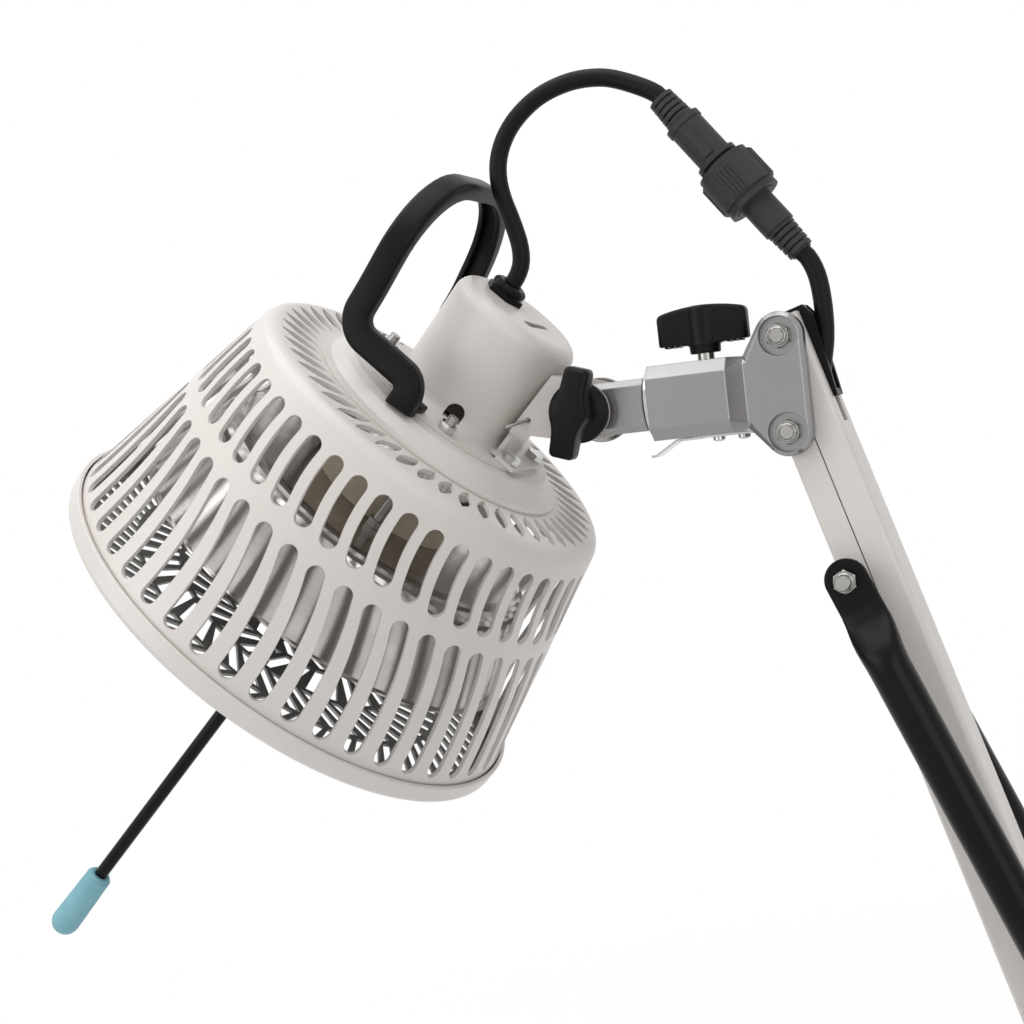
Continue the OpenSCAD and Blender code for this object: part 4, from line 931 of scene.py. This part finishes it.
# %% Geometry Nodes: thread along a line
def thread_tree():
    t = new_tree("thread_along_line", [("Radius", "Float"), ("Pitch", "Float"),
                                       ("Finish", "Material")])
    start, end = add(t, "NodeGroupInput"), add(t, "NodeGroupOutput")
    walk = add(t, "GeometryNodeCurveToPoints", mode="LENGTH")
    ring = add(t, "GeometryNodeCurvePrimitiveCircle", {"Resolution": 24}, mode="RADIUS")
    edge = add(t, "GeometryNodeCurvePrimitiveCircle", {"Resolution": 4}, mode="RADIUS")
    ridge = add(t, "GeometryNodeCurveToMesh")
    place = add(t, "GeometryNodeInstanceOnPoints")
    real = add(t, "GeometryNodeRealizeInstances")
    paint = add(t, "GeometryNodeSetMaterial")
    small = add(t, "ShaderNodeMath", {1: 0.45}, operation="MULTIPLY")
    link(t, (start.outputs["Geometry"], walk.inputs["Curve"]),
         (start.outputs["Pitch"], walk.inputs["Length"]),
         (start.outputs["Radius"], ring.inputs["Radius"]),
         (start.outputs["Pitch"], small.inputs[0]), (small.outputs[0], edge.inputs["Radius"]),
         (ring.outputs["Curve"], ridge.inputs["Curve"]),
         (edge.outputs["Curve"], ridge.inputs["Profile Curve"]),
         (walk.outputs["Points"], place.inputs["Points"]),
         (ridge.outputs["Mesh"], place.inputs["Instance"]),
         (walk.outputs["Rotation"], place.inputs["Rotation"]),
         (place.outputs["Instances"], real.inputs["Geometry"]),
         (real.outputs["Geometry"], paint.inputs["Geometry"]),
         (start.outputs["Finish"], paint.inputs["Material"]),
         (paint.outputs["Geometry"], end.inputs["Geometry"]))
    return t

threads = thread_tree()
def thread_piece(name, spans, radius_mm, pitch_mm, body):
    sizes = {"Radius": radius_mm * MM, "Pitch": pitch_mm * MM, "Finish": finish["zinc_steel"]}
    piece = run_tree(line_curve(spans, name), threads, sizes, name)
    keep(piece, body, "zinc_steel")
    print(name, len(piece.data.polygons), "faces")

# %% [markdown]
# Only the short end past each nut shows its thread. The boxes of the solids say where the nut
# stops and where the bolt ends, so no length is entered twice.

# %% Threads past the nuts
def past_nuts(bolts, nuts, pivots, short=0.2):
    """From each nut's outer face to just short of its bolt's end, on the near side."""
    tip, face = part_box(bolts)[0].y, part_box(nuts)[0].y
    return [(Vector((p.x, face, p.z)), Vector((p.x, tip + short * MM, p.z))) for p in pivots]

pivot_r, pivot_pitch = 2.9, 1.0
thread_piece("pivot_thread", past_nuts("pivot_bolts", "pivot_nuts", [front_top, rear_top]),
             pivot_r, pivot_pitch, "bracket")
thread_piece("foot_thread", past_nuts("lower_pivot_bolts", "lower_pivot_nuts",
                                      [front_foot, rear_foot, strut_foot]),
             pivot_r, pivot_pitch, "mast")
thread_piece("strut_thread", past_nuts("strut_bolt", "strut_nuts", [strut_head]),
             pivot_r, pivot_pitch, "front_arm")

# %% [markdown]
# Three long studs hang the heater in the head. A nut and the neck's plate hide a part of each, so
# each gets two runs of rings, below them and above them.

# %% Threads of the studs inside the head
stud_circle, stud_r, stud_pitch = 45.5, 2.4, 0.8
studs = []
for degrees in (69, 180, 291):
    a = math.radians(degrees)
    for ends in ((90.2, 137.2), (149.4, 153.0)):
        studs.append([on_head @ (Vector((stud_circle * math.cos(a), stud_circle * math.sin(a), z))
                                 * MM) for z in ends])
thread_piece("stud_thread", studs, stud_r, stud_pitch, "head")

# %% [markdown]
# ## Floor and light
# The lamp hangs in plain studio light: a wide bank over it, a softer one from each side, and a
# white surround that fills the shadows. The surround is seen at full white by the camera and in
# reflections, and gives only a plain level of light to the object itself.

# %% Who sees white
def white_behind(tree, out, lit, seen):
    """Camera, mirror and glass rays get the seen shader, and all others the lit one."""
    path = add(tree, "ShaderNodeLightPath")
    any_ray = math_node(tree, "MAXIMUM", path.outputs["Is Camera Ray"],
                        path.outputs["Is Glossy Ray"])
    any_ray = math_node(tree, "MAXIMUM", any_ray, path.outputs["Is Transmission Ray"])
    choose = add(tree, "ShaderNodeMixShader")
    link(tree, (any_ray, choose.inputs[0]), (lit, choose.inputs[1]), (seen, choose.inputs[2]),
         (choose.outputs[0], out))

# %% [markdown]
# The floor is white paper. Under the lamp it keeps the shadow, lifted a little by its own glow,
# and with distance it turns smoothly to full white, so that no horizon shows.

# %% Floor
paper = bpy.data.materials.new("white_paper")
paper.use_nodes = True
t = paper.node_tree
base = t.nodes["Principled BSDF"]
base.inputs["Base Color"].default_value = (0.82, 0.82, 0.82, 1)
base.inputs["Roughness"].default_value = 0.9
base.inputs["Specular IOR Level"].default_value = 0.1
lift = add(t, "ShaderNodeEmission", {"Color": (1, 1, 1, 1), "Strength": 0.32})
both = add(t, "ShaderNodeAddShader")
pure = add(t, "ShaderNodeEmission", {"Color": (1, 1, 1, 1), "Strength": 1.0})
spot = add(t, "ShaderNodeTexCoord")
away = add(t, "ShaderNodeVectorMath", operation="LENGTH")
fade = add(t, "ShaderNodeMapRange", {"From Min": 0.35, "From Max": 1.1},
           interpolation_type="SMOOTHSTEP")
ground = add(t, "ShaderNodeMixShader")
link(t, (base.outputs[0], both.inputs[0]), (lift.outputs[0], both.inputs[1]),
     (spot.outputs["Object"], away.inputs[0]), (away.outputs["Value"], fade.inputs["Value"]),
     (fade.outputs["Result"], ground.inputs[0]), (both.outputs[0], ground.inputs[1]),
     (pure.outputs[0], ground.inputs[2]))
white_behind(t, t.nodes["Material Output"].inputs["Surface"], base.outputs[0], ground.outputs[0])

half, floor_z = 8.0, cad_box[0].z - 2 * MM
corners = [(-half, -half, floor_z), (half, -half, floor_z), (half, half, floor_z),
           (-half, half, floor_z)]
floor = into_scene("floor", skin("floor", corners, [(0, 1, 2, 3)], paper))
print("floor at", round(floor_z, 4), "m")

# %% [markdown]
# White walls could stand for a studio, but a world shader does it without any mesh, and the
# polished metal mirrors it as an even white.

# %% Surround
world = bpy.data.worlds.new("studio")
bpy.context.scene.world = world
world.use_nodes = True
t = world.node_tree
for n in list(t.nodes):
    t.nodes.remove(n)
out = add(t, "ShaderNodeOutputWorld")
lit = add(t, "ShaderNodeBackground", {"Color": (1.0, 0.99, 0.98, 1), "Strength": 0.42})
seen = add(t, "ShaderNodeBackground", {"Color": (1, 1, 1, 1), "Strength": 1.0})
white_behind(t, out.inputs["Surface"], lit.outputs[0], seen.outputs[0])
print("surround:", world.name)

# %% [markdown]
# Real product light comes from large soft boxes, and area lamps stand for them. The one overhead
# is the strongest, and one on each side keeps the near faces from going dark.

# %% Banks of light
lamp_middle = Vector((-0.25, 0, 0.4))
def bank(name, spot, size, watts):
    """A rectangle of soft light that faces the middle of the lamp."""
    data = bpy.data.lights.new(name, "AREA")
    data.shape, data.size, data.size_y, data.energy = "RECTANGLE", size[0], size[1], watts
    made = into_scene(name, data)
    made.matrix_world = aim(spot, Vector(spot) - lamp_middle, (0.1, 1, 0.2))
    print(name, watts, "W")

bank("bank_over", (-0.5, -0.3, 2.0), (2.0, 1.6), 22)
bank("bank_near_left", (-1.7, -1.5, 1.0), (1.2, 1.6), 12)
bank("bank_near_right", (1.4, -1.6, 0.9), (1.2, 1.6), 9)
bpy.context.scene.view_settings.view_transform = "Standard"
